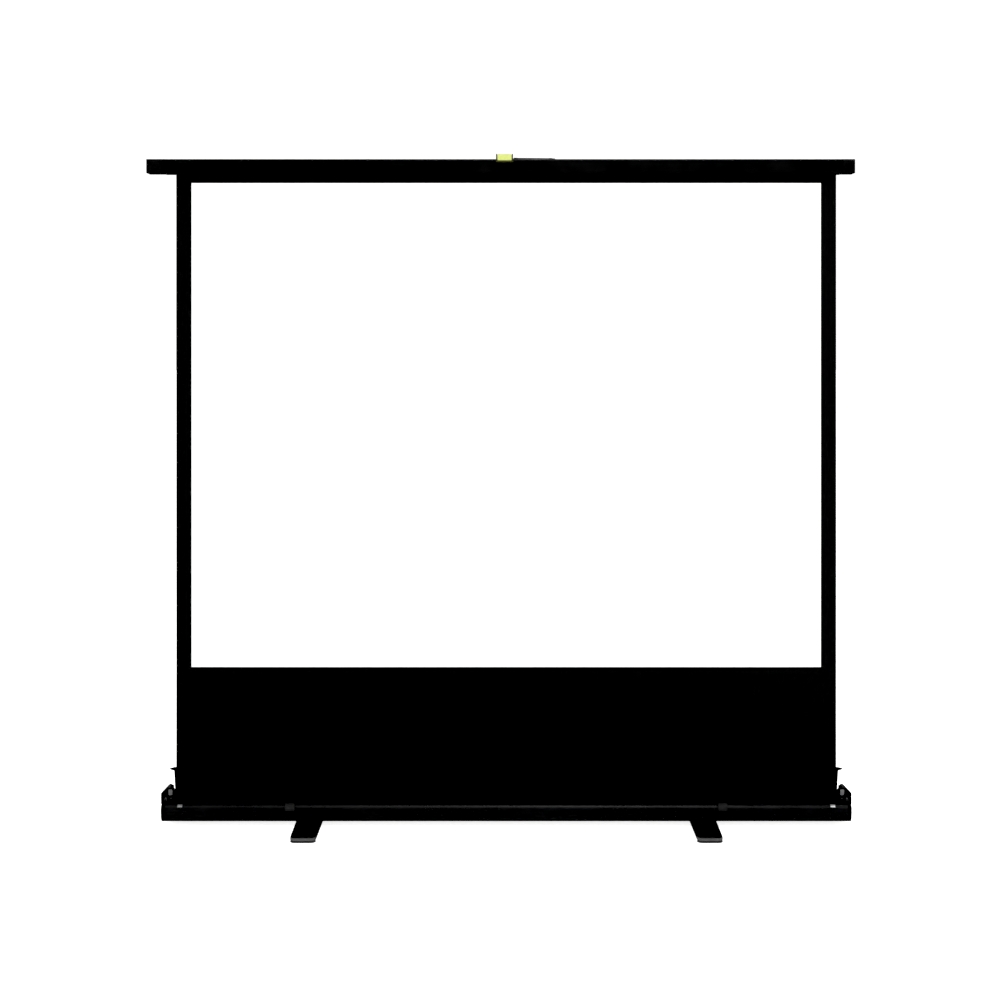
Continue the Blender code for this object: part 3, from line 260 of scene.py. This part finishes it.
def weave(tree):
    """The height of a plain weave: two crossing sets of yarns, each over and under the other."""
    waves = []
    for axis in "XZ":
        node = tree.nodes.new("ShaderNodeTexWave")
        node.wave_type = "BANDS"
        node.bands_direction = axis
        node.inputs["Scale"].default_value = math.pi / (10 * YARN_PITCH)
        node.inputs["Distortion"].default_value = 0.35
        node.inputs["Detail"].default_value = 1.0
        tree.links.new(spots(tree), node.inputs["Vector"])
        waves.append(node.outputs["Fac"])
    return combined(tree, "MULTIPLY", *waves)


def black_fabric(name, colour, light):
    """Coated black screen cloth: a plain weave with uneven yarns and a little lint."""
    made, tree, shader = start_material(name, colour, 0.86, Specular_IOR_Level=0.12, Sheen_Weight=0.04,
                                        Sheen_Roughness=0.5)
    yarns = weave(tree)
    uneven = cloudy(tree, 1.0, 3.0, 0.6, (260, 260, 30))
    lint = remap(tree, cloudy(tree, 900.0, 2.0, 0.5), 0.66, 0.74)
    tone = blend_colours(tree, combined(tree, "MULTIPLY", yarns, uneven), colour, light)
    linty = blend_colours(tree, combined(tree, "MULTIPLY", lint, 0.3), tone, light)
    surface(tree, shader, linty, remap(tree, uneven, 0.3, 0.7, 0.8, 0.92))
    bumps(tree, shader, yarns, 0.4, 0.00015)
    return made


def white_fabric(name, colour, warm):
    """The matt white viewing surface: fine embossed grain over the weave, very faintly mottled."""
    made, tree, shader = start_material(name, colour, 0.82, Specular_IOR_Level=0.2, Sheen_Weight=0.05,
                                        Sheen_Roughness=0.6)
    grain = cells(tree, 1500.0, "Distance")
    yarns = weave(tree)
    mottle = cloudy(tree, 2.2, 4.0, 0.6)
    shade = blend_colours(tree, remap(tree, mottle, 0.35, 0.7), colour, warm)
    surface(tree, shader, shade, remap(tree, mottle, 0.3, 0.7, 0.78, 0.88))
    under = bumps(tree, shader, yarns, 0.12, 0.0001)
    bumps(tree, shader, grain, 0.25, 0.00012, under)
    return made


def clear_plastic(name, colour, deep, through, roughness):
    """Tinted acrylic with soft swirls, as in a small level."""
    made, tree, shader = start_material(name, colour, roughness, Transmission_Weight=through, IOR=1.49)
    swirl = cloudy(tree, 160.0, 3.0, 0.6, (1, 2, 2))
    shade = blend_colours(tree, remap(tree, swirl, 0.35, 0.7), colour, deep)
    surface(tree, shader, shade, remap(tree, swirl, 0.3, 0.7, roughness * 0.7, roughness * 1.4))
    bumps(tree, shader, swirl, 0.05, 0.0002)
    return made


FINISH = {
    "case": extruded_metal("case_anodised_black", (0.006, 0.006, 0.0063), (0.010, 0.010, 0.0103), 0.27),
    "bar": extruded_metal("bar_anodised_black", (0.005, 0.005, 0.0051), (0.008, 0.008, 0.0081), 0.30, 0.20),
    "arm": powder_coat("arm_powder_black", (0.018, 0.018, 0.0185), (0.030, 0.030, 0.0305)),
    "plastic": moulded_plastic("moulded_black", (0.004, 0.004, 0.004), (0.008, 0.008, 0.008), 0.45),
    "cap": moulded_plastic("cap_matt_black", (0.004, 0.004, 0.004), (0.008, 0.008, 0.008), 0.6,
                           grain=1800.0, gloss=0.09),
    "rubber": rubber_like("rubber_black", (0.008, 0.008, 0.008), (0.018, 0.018, 0.0175)),
    # The tip band's grey rubber is lighter partly as a painted highlight on the tip's rounded front.
    "tip": rubber_like("rubber_grey_painted_highlight", (0.050, 0.050, 0.050), (0.075, 0.075, 0.074)),
    # The sole's paler grey is partly pale rubber and partly painted light that lifts its shaded bottom edge.
    "sole": rubber_like("rubber_pale_painted_light", (0.075, 0.075, 0.075), (0.11, 0.11, 0.108)),
    "frame": clear_plastic("level_frame", (0.060, 0.064, 0.028), (0.045, 0.047, 0.02), 0.35, 0.06),
    "steel": plated_steel("zinc_steel", (0.60, 0.60, 0.61), (0.42, 0.42, 0.43), 0.30),
    "plate": plated_steel("satin_steel", (0.60, 0.60, 0.61), (0.46, 0.46, 0.47), 0.42, 900.0, 0.88),
    "clip": plated_steel("clip_steel", (0.50, 0.50, 0.505), (0.36, 0.36, 0.365), 0.36, 420.0, 0.9),
    "dull": plated_steel("dark_rivet_steel", (0.20, 0.20, 0.205), (0.13, 0.13, 0.135), 0.45, 900.0),
    "oxide": plated_steel("black_oxide_steel", (0.030, 0.030, 0.031), (0.018, 0.018, 0.018), 0.42, 900.0),
    "tube": extruded_metal("tube_aluminium", (0.55, 0.55, 0.56), (0.68, 0.68, 0.69), 0.34, metallic=1.0),
    "black_cloth": black_fabric("screen_black", (0.004, 0.004, 0.004), (0.008, 0.008, 0.008)),
    "white_cloth": white_fabric("screen_white", (0.90, 0.90, 0.90), (0.87, 0.87, 0.865)),
    "acrylic": clear_plastic("level_acrylic", (0.50, 0.55, 0.15), (0.43, 0.48, 0.11), 0.10, 0.60),
    "liquid": clear_plastic("level_liquid", (0.32, 0.36, 0.04), (0.28, 0.32, 0.03), 0.25, 0.20),
    "bubble": clear_plastic("level_bubble", (0.95, 0.97, 0.85), (0.9, 0.94, 0.78), 0.6, 0.04),
    "ink": moulded_plastic("level_lines", (0.01, 0.01, 0.01), (0.02, 0.02, 0.02), 0.5),
}


# Finishes for the solids that stay: each one's name, its finish and the width of its round edges

SINGLE_SOLIDS = (
    ("case_shell", "case", 0.0005),
    ("top_bar", "bar", 0.0005),
    ("hem_rod", "steel", 0.0),
    ("roller_tube", "tube", 0.0),
    ("roller_shaft", "steel", 0.0004),
    ("level_holder", "frame", 0.0003),
    ("carry_handle", "plastic", 0.0006),
)
PAIRED_SOLIDS = (
    ("end_cap", "cap", 0.0004),
    ("bar_cap", "plastic", 0.0),
    ("latch", "plastic", 0.0004),
    ("latch_plate", "plate", 0.0010),
    ("latch_pin", "oxide", 0.0003),
    ("lip_clip", "clip", 0.0004),
    ("bumper", "rubber", 0.0),
    ("roller_bracket", "steel", 0.0003),
    ("arm_bracket", "steel", 0.0003),
    ("base_pin", "steel", 0.0004),
    ("bar_bracket", "steel", 0.0003),
    ("top_pin", "steel", 0.0004),
    ("lower_arm", "arm", 0.0008),
    ("upper_arm", "arm", 0.0008),
    ("elbow_pin", "steel", 0.0005),
    ("lever_pin", "steel", 0.0002),
    ("release_lever", "plastic", 0.0005),
    ("roller_plug", "plastic", 0.0003),
    ("foot", "plastic", 0.0005),
    ("foot_bolt", "steel", 0.0003),
    ("handle_mount", "plastic", 0.0006),
    ("front_tip", "tip", 0.0),
    ("rear_tip", "tip", 0.0),
)


def dress(node, finish, edge):
    """Give a CAD node its finish and small round edges, with its points left as they are."""
    piece = NODES[node]
    piece.data.materials.clear()
    piece.data.materials.append(FINISH[finish])
    if edge:
        join_points = piece.modifiers.new("Join points", "WELD")
        join_points.merge_threshold = WELD_REACH
        rounded = piece.modifiers.new("Round edges", "BEVEL")
        rounded.width = edge
        rounded.segments = 2
        rounded.limit_method = "ANGLE"
        rounded.angle_limit = math.radians(EDGE_ANGLE)
        rounded.harden_normals = True


def dress_all():
    for node, finish, edge in SINGLE_SOLIDS:
        dress(node, finish, edge)
    for side in SIDES:
        for part, finish, edge in PAIRED_SOLIDS:
            dress(side + "_" + part, finish, edge)


# Ways of making meshes

def as_piece(name, bm, body, finish, angle=40):
    """Turn a bmesh into a piece that rides on a body."""
    bmesh.ops.recalc_face_normals(bm, faces=bm.faces)
    mesh = bpy.data.meshes.new(name)
    bm.to_mesh(mesh)
    bm.free()
    mesh.shade_smooth()
    mesh.set_sharp_from_angle(angle=math.radians(angle))
    mesh.materials.append(FINISH[finish])
    piece = bpy.data.objects.new(name, mesh)
    bpy.context.scene.collection.objects.link(piece)
    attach(piece, body)
    return piece


def loft(bm, rings, caps=True):
    """Join rings of points, each a closed loop of the same count."""
    made = [[bm.verts.new(point) for point in ring] for ring in rings]
    count = len(made[0])
    for first, second in zip(made, made[1:]):
        for step in range(count):
            after = (step + 1) % count
            bm.faces.new((first[step], first[after], second[after], second[step]))
    if caps:
        bm.faces.new(made[0])
        bm.faces.new(made[-1])


def skin(bm, grid):
    """Faces between the neighbours in a grid of vertices."""
    for line, after in zip(grid, grid[1:]):
        for column in range(len(line) - 1):
            bm.faces.new((line[column], line[column + 1], after[column + 1], after[column]))


def axes_of(direction):
    """Two directions square to the given one, and the given one."""
    along = Vector(direction).normalized()
    helper = Vector((0, 0, 1)) if abs(along.z) < 0.9 else Vector((1, 0, 0))
    across = along.cross(helper).normalized()
    return across, along.cross(across), along


def round_point(centre, axes, radius, angle, reach=0.0):
    """The point at a radius and an angle round an axis, and at a reach along it."""
    across, up, along = axes
    return (Vector(centre) + across * (radius * math.cos(angle)) + up * (radius * math.sin(angle))
            + along * reach)


def lathe(bm, profile, centre, direction, steps=28, caps=True):
    """Turn a profile of (radius, reach along the axis) round an axis."""
    axes = axes_of(direction)
    rings = [[round_point(centre, axes, radius, 2 * math.pi * step / steps, reach) for step in range(steps)]
             for radius, reach in profile]
    loft(bm, rings, caps)


def wire(bm, points, radius, sides):
    """A round wire along points, its section carried along without twist."""
    points = [Vector(point) for point in points]
    across, _, before = axes_of(points[1] - points[0])
    rings = []
    for count, point in enumerate(points):
        ahead = points[min(count + 1, len(points) - 1)] - points[max(count - 1, 0)]
        ahead.normalize()
        across = before.rotation_difference(ahead) @ across
        before = ahead
        across = (across - ahead * across.dot(ahead)).normalized()
        axes = (across, ahead.cross(across), ahead)
        rings.append([round_point(point, axes, radius, 2 * math.pi * step / sides) for step in range(sides)])
    loft(bm, rings)


def brick(bm, low, high, edge, segments=2):
    """A box between two corners, with round edges."""
    made = bmesh.ops.create_cube(bm, size=1.0)["verts"]
    size = Vector(high) - Vector(low)
    middle = (Vector(high) + Vector(low)) / 2
    for vert in made:
        vert.co = Vector([a * b for a, b in zip(vert.co, size)]) + middle
    edges = list(dict.fromkeys(e for vert in made for e in vert.link_edges))
    bmesh.ops.bevel(bm, geom=edges, offset=edge, segments=segments, profile=0.5, affect="EDGES")


def screw_head(bm, centre, direction, radius, high, turn=0.3):
    """A pan head with a cross recess: the recess is a sunk star joined to the dome by its rim."""
    steps = 32
    arm, waist = radius * 0.62, radius * 0.17
    inner_corner = waist * 1.414

    def star(angle):
        folded = (angle - turn) % (math.pi / 2)
        folded = min(folded, math.pi / 2 - folded)
        reach = waist / max(math.sin(folded), 0.001)
        return min(arm, max(reach, inner_corner))

    levels = [("ring", radius * 0.96, 0.0), ("ring", radius, high * 0.25),
              ("ring", radius * 0.95, high * 0.6), ("ring", radius * 0.8, high * 0.88),
              ("ring", radius * 0.68, high), ("star", 1.0, high), ("star", 0.9, high * 0.35),
              ("ring", radius * 0.03, high * 0.22)]
    axes = axes_of(direction)
    rings = []
    for kind, size, reach in levels:
        ring = []
        for step in range(steps):
            angle = 2 * math.pi * step / steps
            out = star(angle) * size if kind == "star" else size
            ring.append(round_point(centre, axes, out, angle, reach))
        rings.append(ring)
    loft(bm, rings)


# The screen cloth

def drift(x, z, top, bottom, half):
    """How far the hanging cloth stands off its plane: slow waves that fade out at its held ends."""
    most, top_fade, bottom_fade = 0.00075, 0.10, 0.20
    held = min(1.0, (top - z) / top_fade) * min(1.0, max(0.0, (z - bottom)) / bottom_fade)
    held = held * held * (3 - 2 * held)
    share = (x - CASE_X) / half
    edge = 0.25 + 0.75 * abs(share) ** 3
    wave = math.sin(x * 7.1 + 0.6) * 0.5 + math.sin(x * 15.7 + z * 1.3) * 0.28
    wave += noise.noise(Vector((x * 2.3, 0.4, z * 1.7))) * 0.9
    return most * held * edge * wave


def cloth_sheet(name, box, columns, rows, finish, shape):
    """A sheet in the x, z plane that fills a box, its faces drifting together."""
    low, high = box
    bm = bmesh.new()
    grids = []
    for face in (low.y, high.y):
        grid = []
        for row in range(rows + 1):
            z = low.z + (high.z - low.z) * row / rows
            line = []
            for column in range(columns + 1):
                x = low.x + (high.x - low.x) * column / columns
                line.append(bm.verts.new((x, face + drift(x, z, *shape), z)))
            grid.append(line)
        grids.append(grid)
    for grid in grids:
        skin(bm, grid)
    first, second = grids
    rim = [(0, c) for c in range(columns)] + [(r, columns) for r in range(rows)]
    rim += [(rows, c) for c in range(columns, 0, -1)] + [(r, 0) for r in range(rows, 0, -1)]
    for count, (row, column) in enumerate(rim):
        after = rim[(count + 1) % len(rim)]
        bm.faces.new((first[row][column], first[after[0]][after[1]], second[after[0]][after[1]],
                      second[row][column]))
    return as_piece(name, bm, "case", finish, 50)


def screen():
    """The black cloth and its white coating, as sheets that ride on the case."""
    low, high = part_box("screen_cloth")
    shape = (high.z, CASE_MOUTH, (high.x - low.x) / 2)
    black = cloth_sheet("screen_sheet", (low, high), 84, 82, "black_cloth", shape)
    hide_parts("screen_cloth")
    image_low, image_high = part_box("viewing_surface")
    white = cloth_sheet("screen_image", (image_low, image_high), 80, 62, "white_cloth", shape)
    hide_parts("viewing_surface")
    for piece in (black, white):
        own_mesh(piece)


def roller_winding():
    """The cloth left on the tube, wound in a spiral to where it leaves upward, its ends a little uneven."""
    low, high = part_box("roller_wrap")
    pitch, turns, thick = 0.001, 2, 0.0005
    reach = -ROLLER_AXIS[0]
    steps = 72 * turns
    columns = 12
    uneven = 0.0003
    bm = bmesh.new()
    faces = []
    for shift in (thick / 2, -thick / 2):
        grid = []
        for step in range(steps + 1):
            turn = step / steps - 1
            angle = 2 * math.pi * turns * turn
            radius = reach + pitch * turns * turn + shift
            y = ROLLER_AXIS[0] + radius * math.cos(angle)
            z = ROLLER_AXIS[1] + radius * math.sin(angle)
            line = []
            for column in range(columns + 1):
                x = low.x + (high.x - low.x) * column / columns
                if column in (0, columns):
                    x += (uneven + uneven * math.sin(step * 0.11)) * (1 if column == 0 else -1)
                line.append(bm.verts.new((x, y, z)))
            grid.append(line)
        faces.append(grid)
    for grid in faces:
        skin(bm, grid)
    outer, inner = faces
    for step in range(steps):
        for column in (0, columns):
            bm.faces.new((outer[step][column], outer[step + 1][column], inner[step + 1][column],
                          inner[step][column]))
    for step in (0, steps):
        for column in range(columns):
            bm.faces.new((outer[step][column], outer[step][column + 1], inner[step][column + 1],
                          inner[step][column]))
    piece = as_piece("roller_winding", bm, "roller", "black_cloth", 50)
    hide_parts("roller_wrap")


# Springs

def winding_coil():
    """The close spring inside the tube, from the left plug to its anchor on the shaft."""
    low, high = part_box("winding_spring")
    radius, thick = 0.009, 0.001
    coils, around = 46, 16
    end_gap, straight = 0.0005, 0.003
    start = low.x + straight
    points = [(low.x + end_gap, ROLLER_AXIS[0] + radius, ROLLER_AXIS[1])]
    for step in range(coils * around + 1):
        angle = 2 * math.pi * step / around
        x = start + (high.x - start - thick) * step / (coils * around)
        y = ROLLER_AXIS[0] + radius * math.cos(angle)
        z = ROLLER_AXIS[1] + radius * math.sin(angle)
        points.append((x, y, z))
    bm = bmesh.new()
    wire(bm, points, thick, 6)
    piece = as_piece("winding_coil", bm, "case", "steel", 60)
    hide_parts("winding_spring")


def lift_coil(label, side):
    """The coil on the base pin, with one leg on the bracket and one along the arm."""
    low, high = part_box(label + "_lift_spring")
    x = CASE_X + side * BASE_PIN_X
    radius, thick = 0.007, 0.0011
    coils, around, pitch = 4, 26, 0.0028
    leg_steps, leg_step, leg_gap = 6, 0.0028, 0.0004
    start = low.y + thick
    points = [(x - side * radius, start, low.z + leg_gap + step * leg_step) for step in range(leg_steps)]
    for step in range(coils * around + 1):
        angle = math.pi + 2 * math.pi * step / around
        points.append((x + side * radius * math.cos(angle), start + pitch * step / around,
                       BASE_PIN_Z + radius * math.sin(-angle)))
    last = points[-1]
    points += [(last[0], last[1], last[2] + step * leg_step) for step in range(1, leg_steps)]
    bm = bmesh.new()
    wire(bm, points, thick * 0.97, 10)
    piece = as_piece(label + "_lift_coil", bm, "case", "steel", 60)
    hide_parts(label + "_lift_spring")


# Level and handle

def level_block(low, high):
    corner = 0.0022
    bm = bmesh.new()
    brick(bm, low, high, corner, 5)
    block = as_piece("level_block", bm, "bar", "acrylic")
    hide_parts("level_vial")


def level_tube(low, high, middle):
    """The vial in the block's bore, with round ends and a slight barrel in its middle."""
    end_gap, barrel = 0.0030, 1.03
    long = (high.x - low.x) / 2 - end_gap
    profile = []
    for step in range(1, 7):
        angle = step * math.pi / 12
        profile.append((LEVEL_BORE * math.sin(angle), -long + LEVEL_BORE * (1 - math.cos(angle))))
    profile.append((LEVEL_BORE * barrel, 0.0))
    profile += [(radius, -reach) for radius, reach in profile[-2::-1]]
    bm = bmesh.new()
    lathe(bm, profile, middle, (1, 0, 0))
    as_piece("level_tube", bm, "bar", "liquid", 50)


def level_bubble(middle):
    bm = bmesh.new()
    bmesh.ops.create_uvsphere(bm, u_segments=20, v_segments=12, radius=1.0)
    for vert in bm.verts:
        vert.co = Vector([a * b for a, b in zip(vert.co, BUBBLE)])
        vert.co += middle + Vector(BUBBLE_SHIFT)
    as_piece("level_bubble", bm, "bar", "bubble", 60)


def level_rings(middle):
    """The two reading lines round the vial, one on each side of the bubble."""
    apart = 0.0066
    inner, outer = LEVEL_BORE * 1.035, LEVEL_BORE * 1.10
    foot, crest = 0.0003, 0.00025
    bm = bmesh.new()
    for reach in (-apart, apart):
        ring = [(inner, reach - foot), (outer, reach - crest), (outer, reach + crest), (inner, reach + foot)]
        lathe(bm, ring, middle, (1, 0, 0), caps=False)
    as_piece("level_rings", bm, "bar", "ink")


def level_screws():
    low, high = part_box("level_holder")
    from_side, from_back = 0.006, 0.0024
    radius, tall = 0.0017, 0.0009
    bm = bmesh.new()
    for x in (low.x + from_side, high.x - from_side):
        screw_head(bm, (x, high.y - from_back, LEVEL_TAB_TOP), (0, 0, 1), radius, tall)
    as_piece("level_screws", bm, "bar", "steel")


def level_glass():
    """The level: an acrylic block with a vial in its bore, a bubble, two reading lines and its screws."""
    low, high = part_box("level_vial")
    middle = (low + high) / 2
    level_block(low, high)
    level_tube(low, high, middle)
    level_bubble(middle)
    level_rings(middle)
    level_screws()


def handle_ribs():
    """Small ribs across the folded handle's grip, whose top falls a little to one end."""
    low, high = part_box("carry_handle")
    count, half, edge = 16, 0.0011, 0.0003
    from_end, step_down, fall = 0.014, 0.0011, 0.0008
    sunk, proud = 0.0008, 0.0003
    front, back = low.y + 0.0012, low.y + 0.0072
    start, end = low.x + from_end, high.x - from_end
    bm = bmesh.new()
    for step in range(count):
        x = start + (end - start) * step / (count - 1)
        share = (x - low.x) / (high.x - low.x)
        top = high.z - step_down - fall * share
        brick(bm, (x - half, front, top - sunk), (x + half, back, top + proud), edge)
    as_piece("handle_ribs", bm, "handle", "rubber")


# Screws, rivets and rubber

def end_cap_screws(label, side):
    """Three pan-head screws on washers, which hold an end cap to the extrusion."""
    outer = CASE_X + side * CAP_FACE
    radius, tall = 0.0032, 0.0016
    first_turn, next_turn = 0.3, 0.5
    bm = bmesh.new()
    for count, (y, z) in enumerate(CAP_SCREWS):
        lathe(bm, WASHER, (outer, y, z), (side, 0, 0))
        screw_head(bm, (outer, y, z), (side, 0, 0), radius, tall, first_turn + count * next_turn)
    as_piece(label + "_cap_screws", bm, "case", "steel")


def floor_rivets(label, side):
    """Rivets that fix the arm bracket and the roller bracket to the case floor."""
    in_arm_bracket, in_roller_bracket, from_front = 0.0028, 0.0042, 0.006
    bm = bmesh.new()
    low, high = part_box(label + "_arm_bracket")
    for x in (low.x + in_arm_bracket, high.x - in_arm_bracket):
        for y in ARM_RIVET_ROWS:
            lathe(bm, SMALL_RIVET, (x, y, ARM_BRACKET_TOP), (0, 0, 1), 20)
    low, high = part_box(label + "_roller_bracket")
    x = high.x - in_roller_bracket if side > 0 else low.x + in_roller_bracket
    for y in (low.y + from_front, high.y - from_front):
        lathe(bm, SMALL_RIVET, (x, y, ROLLER_BRACKET_TOP), (0, 0, 1), 20)
    as_piece(label + "_floor_rivets", bm, "case", "steel")


def pin_caps(label):
    """Domed heads on both ends of the elbow pin."""
    low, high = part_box(label + "_elbow_pin")
    x, z = (low.x + high.x) / 2, (low.z + high.z) / 2
    bm = bmesh.new()
    for y, way in ((low.y, -1), (high.y, 1)):
        lathe(bm, PIN_CAP, (x, y, z), (0, way, 0), 32)
    as_piece(label + "_elbow_caps", bm, label + "_lower", "steel")


def lever_ribs(label, side):
    """Grip ribs along the sloping top of the release lever's thumb tab."""
    low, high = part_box(label + "_release_lever")
    tip = high.x if side > 0 else low.x
    count, half, inset, edge = 4, 0.0005, 0.0004, 0.0002
    from_tip, pitch = 0.0022, 0.0024
    step_down, fall, tall = 0.0022, 0.0019, 0.0016
    bm = bmesh.new()
    for step in range(count):
        x = tip - side * (from_tip + step * pitch)
        z = high.z - step_down - fall * (1 - (step + 0.5) / count)
        brick(bm, (x - half, low.y + inset, z), (x + half, high.y - inset, z + tall), edge)
    as_piece(label + "_lever_ribs", bm, label + "_lever", "plastic")


def latch_rivets(label, side):
    """Domed rivets low on the latch's leaning face and, larger and taller, on the ear beside it."""
    low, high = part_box(label + "_latch_pin")
    pivot = Vector((0, (low.y + high.y) / 2, (low.z + high.z) / 2))
    low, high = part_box(label + "_latch_plate")
    smaller, larger, taller, above_pin = 0.85, 1.15, 0.6, 0.0040
    lean = math.radians(LATCH_LEAN)
    forward = Vector((0, -math.cos(lean), -math.sin(lean)))
    upward = Vector((0, -math.sin(lean), math.cos(lean)))
    spot = pivot + forward * LATCH_FRONT + upward * above_pin
    spot.x = (low.x + high.x) / 2
    bm = bmesh.new()
    lathe(bm, [(radius * smaller, reach) for radius, reach in RIVET], spot, forward)
    as_piece(label + "_latch_rivet", bm, label + "_hook", "dull")
    low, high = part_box(label + "_latch")
    side_face = high.x if side > 0 else low.x
    spot = (side_face + side * EAR_RIVET_OUT, pivot.y - LATCH_FRONT, pivot.z - EAR_RIVET_DROP)
    bm = bmesh.new()
    lathe(bm, [(radius * larger, reach) for radius, reach in RIVET], spot, (0, -1, 0))
    for vert in bm.verts:
        vert.co.z += (vert.co.z - pivot.z + EAR_RIVET_DROP) * taller
    as_piece(label + "_ear_rivet", bm, "case", "dull")


def latch_lips(label):
    """The pocket's lips, which lap over both long edges of the latch's thumb plate."""
    low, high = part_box(label + "_latch_plate")
    middle = (low + high) / 2
    half, beyond, lap, edge = 0.0077, 0.0007, 0.0011, 0.0003
    front, back = middle.y - 0.0012, middle.y + 0.0004
    bm = bmesh.new()
    for x, way in ((low.x, 1), (high.x, -1)):
        start, end = sorted((x - way * beyond, x + way * lap))
        brick(bm, (start, front, middle.z - half), (end, back, middle.z + half), edge)
    leaned = Matrix.Rotation(math.radians(LATCH_LEAN), 3, "X")
    bmesh.ops.rotate(bm, verts=bm.verts, cent=middle, matrix=leaned)
    as_piece(label + "_latch_lips", bm, label + "_hook", "plastic")


def nose_outline(low, high, way, inset):
    """A foot tip's outline drawn in by an inset: square at the seam, round at its free corners."""
    end, seam = (low.y, high.y) if way < 0 else (high.y, low.y)
    radius = TIP_CORNER - inset
    steps = 8
    points = [(high.x - inset, seam)]
    for middle, start in ((high.x - TIP_CORNER, 0), (low.x + TIP_CORNER, 90)):
        for step in range(steps + 1):
            angle = math.radians(start + 90 * step / steps)
            y = end - way * (TIP_CORNER - radius * math.sin(angle))
            points.append((middle + radius * math.cos(angle), y))
    points.append((low.x + inset, seam))
    return points


def foot_tip(node, way):
    """A foot's end in four mouldings: a grey sole, partly painted light at its shaded edge; a black core set
    back, its black painted shade in the groove; a grey band, partly a painted highlight; and a black nose.
    """
    low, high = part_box(node)
    body = node.split("_")[0] + "_stand"
    for word, finish, levels in TIP_MOULDINGS:
        bm = bmesh.new()
        loft(bm, [[(x, y, z) for x, y in nose_outline(low, high, way, inset)] for z, inset in levels])
        piece = as_piece(node + word, bm, body, finish)
        if word == "_nose":
            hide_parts(node)


# Stage, light and camera

LIGHTS = (
    ("front_high", (0.9, -3.3, 5.1), (0.1, 0.0, 0.4), (2.8, 0.45), 94),
    ("front_left", (-3.6, -2.2, 1.5), (-0.3, 0.0, 0.9), (1.2, 2.2), 5),
    ("front_right", (3.6, -2.2, 1.5), (0.3, 0.0, 0.9), (1.2, 2.2), 10),
    ("behind", (0.0, 2.8, 2.8), (0.0, 0.0, 0.8), (3.2, 1.2), 45),
)


def floor():
    """A plain pale floor like a light table, which the black pieces don't mirror."""
    made, tree, shader = start_material("floor_pale", (0.95, 0.95, 0.95), 0.9, Specular_IOR_Level=0.0,
                                        Emission_Strength=0.75)
    shader.inputs["Emission Color"].default_value = (1, 1, 1, 1)
    tree.links.new(blend_colours(tree, cloudy(tree, 3.0, 2.0), (0.96, 0.96, 0.96), (0.94, 0.94, 0.94)),
                   shader.inputs["Base Color"])
    bm = bmesh.new()
    bmesh.ops.create_grid(bm, x_segments=8, y_segments=8, size=40)
    mesh = bpy.data.meshes.new("floor")
    bm.to_mesh(mesh)
    bm.free()
    mesh.materials.append(made)
    ground = bpy.data.objects.new("floor", mesh)
    bpy.context.scene.collection.objects.link(ground)
    ground.visible_glossy = False


def room():
    """A white room for soft light, with dark flags round it for what gloss mirrors.

    A flag has its direction, the cosines where its dimming starts and ends, and the light that it leaves.
    """
    world = bpy.data.worlds.new("studio")
    bpy.context.scene.world = world
    world.use_nodes = True
    tree = world.node_tree
    where = tree.nodes.new("ShaderNodeTexCoord")
    walls = 0.62
    in_front = ((0, -0.96, -0.28), 0.2, 0.8, 0.02)
    low_behind = ((0, 0.93, 0.36), 0.62, 0.93, 0.02)
    below = ((0, 0, -1), -0.12, 0.10, 0.02)
    at_left = ((-1, 0, 0), 0.08, 0.19, 0.06)
    at_right = ((1, 0, 0), 0.17, 0.24, 0.40)
    for direction, start, end, dimmed in (in_front, low_behind, below, at_left, at_right):
        flag = tree.nodes.new("ShaderNodeVectorMath")
        flag.operation = "DOT_PRODUCT"
        flag.inputs[1].default_value = Vector(direction)
        tree.links.new(where.outputs["Generated"], flag.inputs[0])
        shade = remap(tree, flag.outputs["Value"], start, end, 1.0, dimmed)
        walls = combined(tree, "MULTIPLY", shade, walls)
    path = tree.nodes.new("ShaderNodeLightPath")
    seen = tree.nodes.new("ShaderNodeMix")
    seen.data_type = "FLOAT"
    tree.links.new(path.outputs["Is Glossy Ray"], seen.inputs[0])
    seen.inputs[2].default_value = 1.0
    tree.links.new(walls, seen.inputs[3])
    tree.links.new(seen.outputs[0], tree.nodes["Background"].inputs["Strength"])
    tree.nodes["Background"].inputs["Color"].default_value = (1, 1, 1, 1)


def softbox(name, spot, target, size, power):
    data = bpy.data.lights.new(name, "AREA")
    data.shape = "RECTANGLE"
    data.size, data.size_y = size
    data.energy = power
    lamp = bpy.data.objects.new(name, data)
    lamp.location = spot
    lamp.rotation_euler = (Vector(target) - Vector(spot)).to_track_quat("-Z", "Y").to_euler()
    bpy.context.scene.collection.objects.link(lamp)


def camera():
    """The photo's viewpoint: level, four metres in front, its frame shifted down onto the screen."""
    data = bpy.data.cameras.new("camera")
    data.sensor_width = 36
    data.lens = 56.63
    data.shift_y = -0.175
    data.clip_end = 200
    eye = bpy.data.objects.new("camera", data)
    eye.location = (-0.0018, -4.0, 1.2625)
    eye.rotation_euler = (math.radians(90), 0, 0)
    bpy.context.scene.collection.objects.link(eye)
    bpy.context.scene.camera = eye


def picture():
    """A plain view transform whose black point is raised, as in the high-contrast photograph."""
    settings = bpy.context.scene.view_settings
    settings.view_transform = "Standard"
    settings.look = "None"
    settings.use_curve_mapping = True
    settings.curve_mapping.black_level = (0.012, 0.012, 0.012)
    settings.curve_mapping.white_level = (0.9, 0.9, 0.9)
    settings.curve_mapping.update()


dress_all()
roller_winding()
screen()
winding_coil()
level_glass()
handle_ribs()
for word, way in SIDES.items():
    lift_coil(word, way)
    latch_rivets(word, way)
    latch_lips(word)
    end_cap_screws(word, way)
    floor_rivets(word, way)
    pin_caps(word)
    lever_ribs(word, way)
    foot_tip(word + "_front_tip", -1)
    foot_tip(word + "_rear_tip", 1)
floor()
room()
for light in LIGHTS:
    softbox(*light)
camera()
picture()
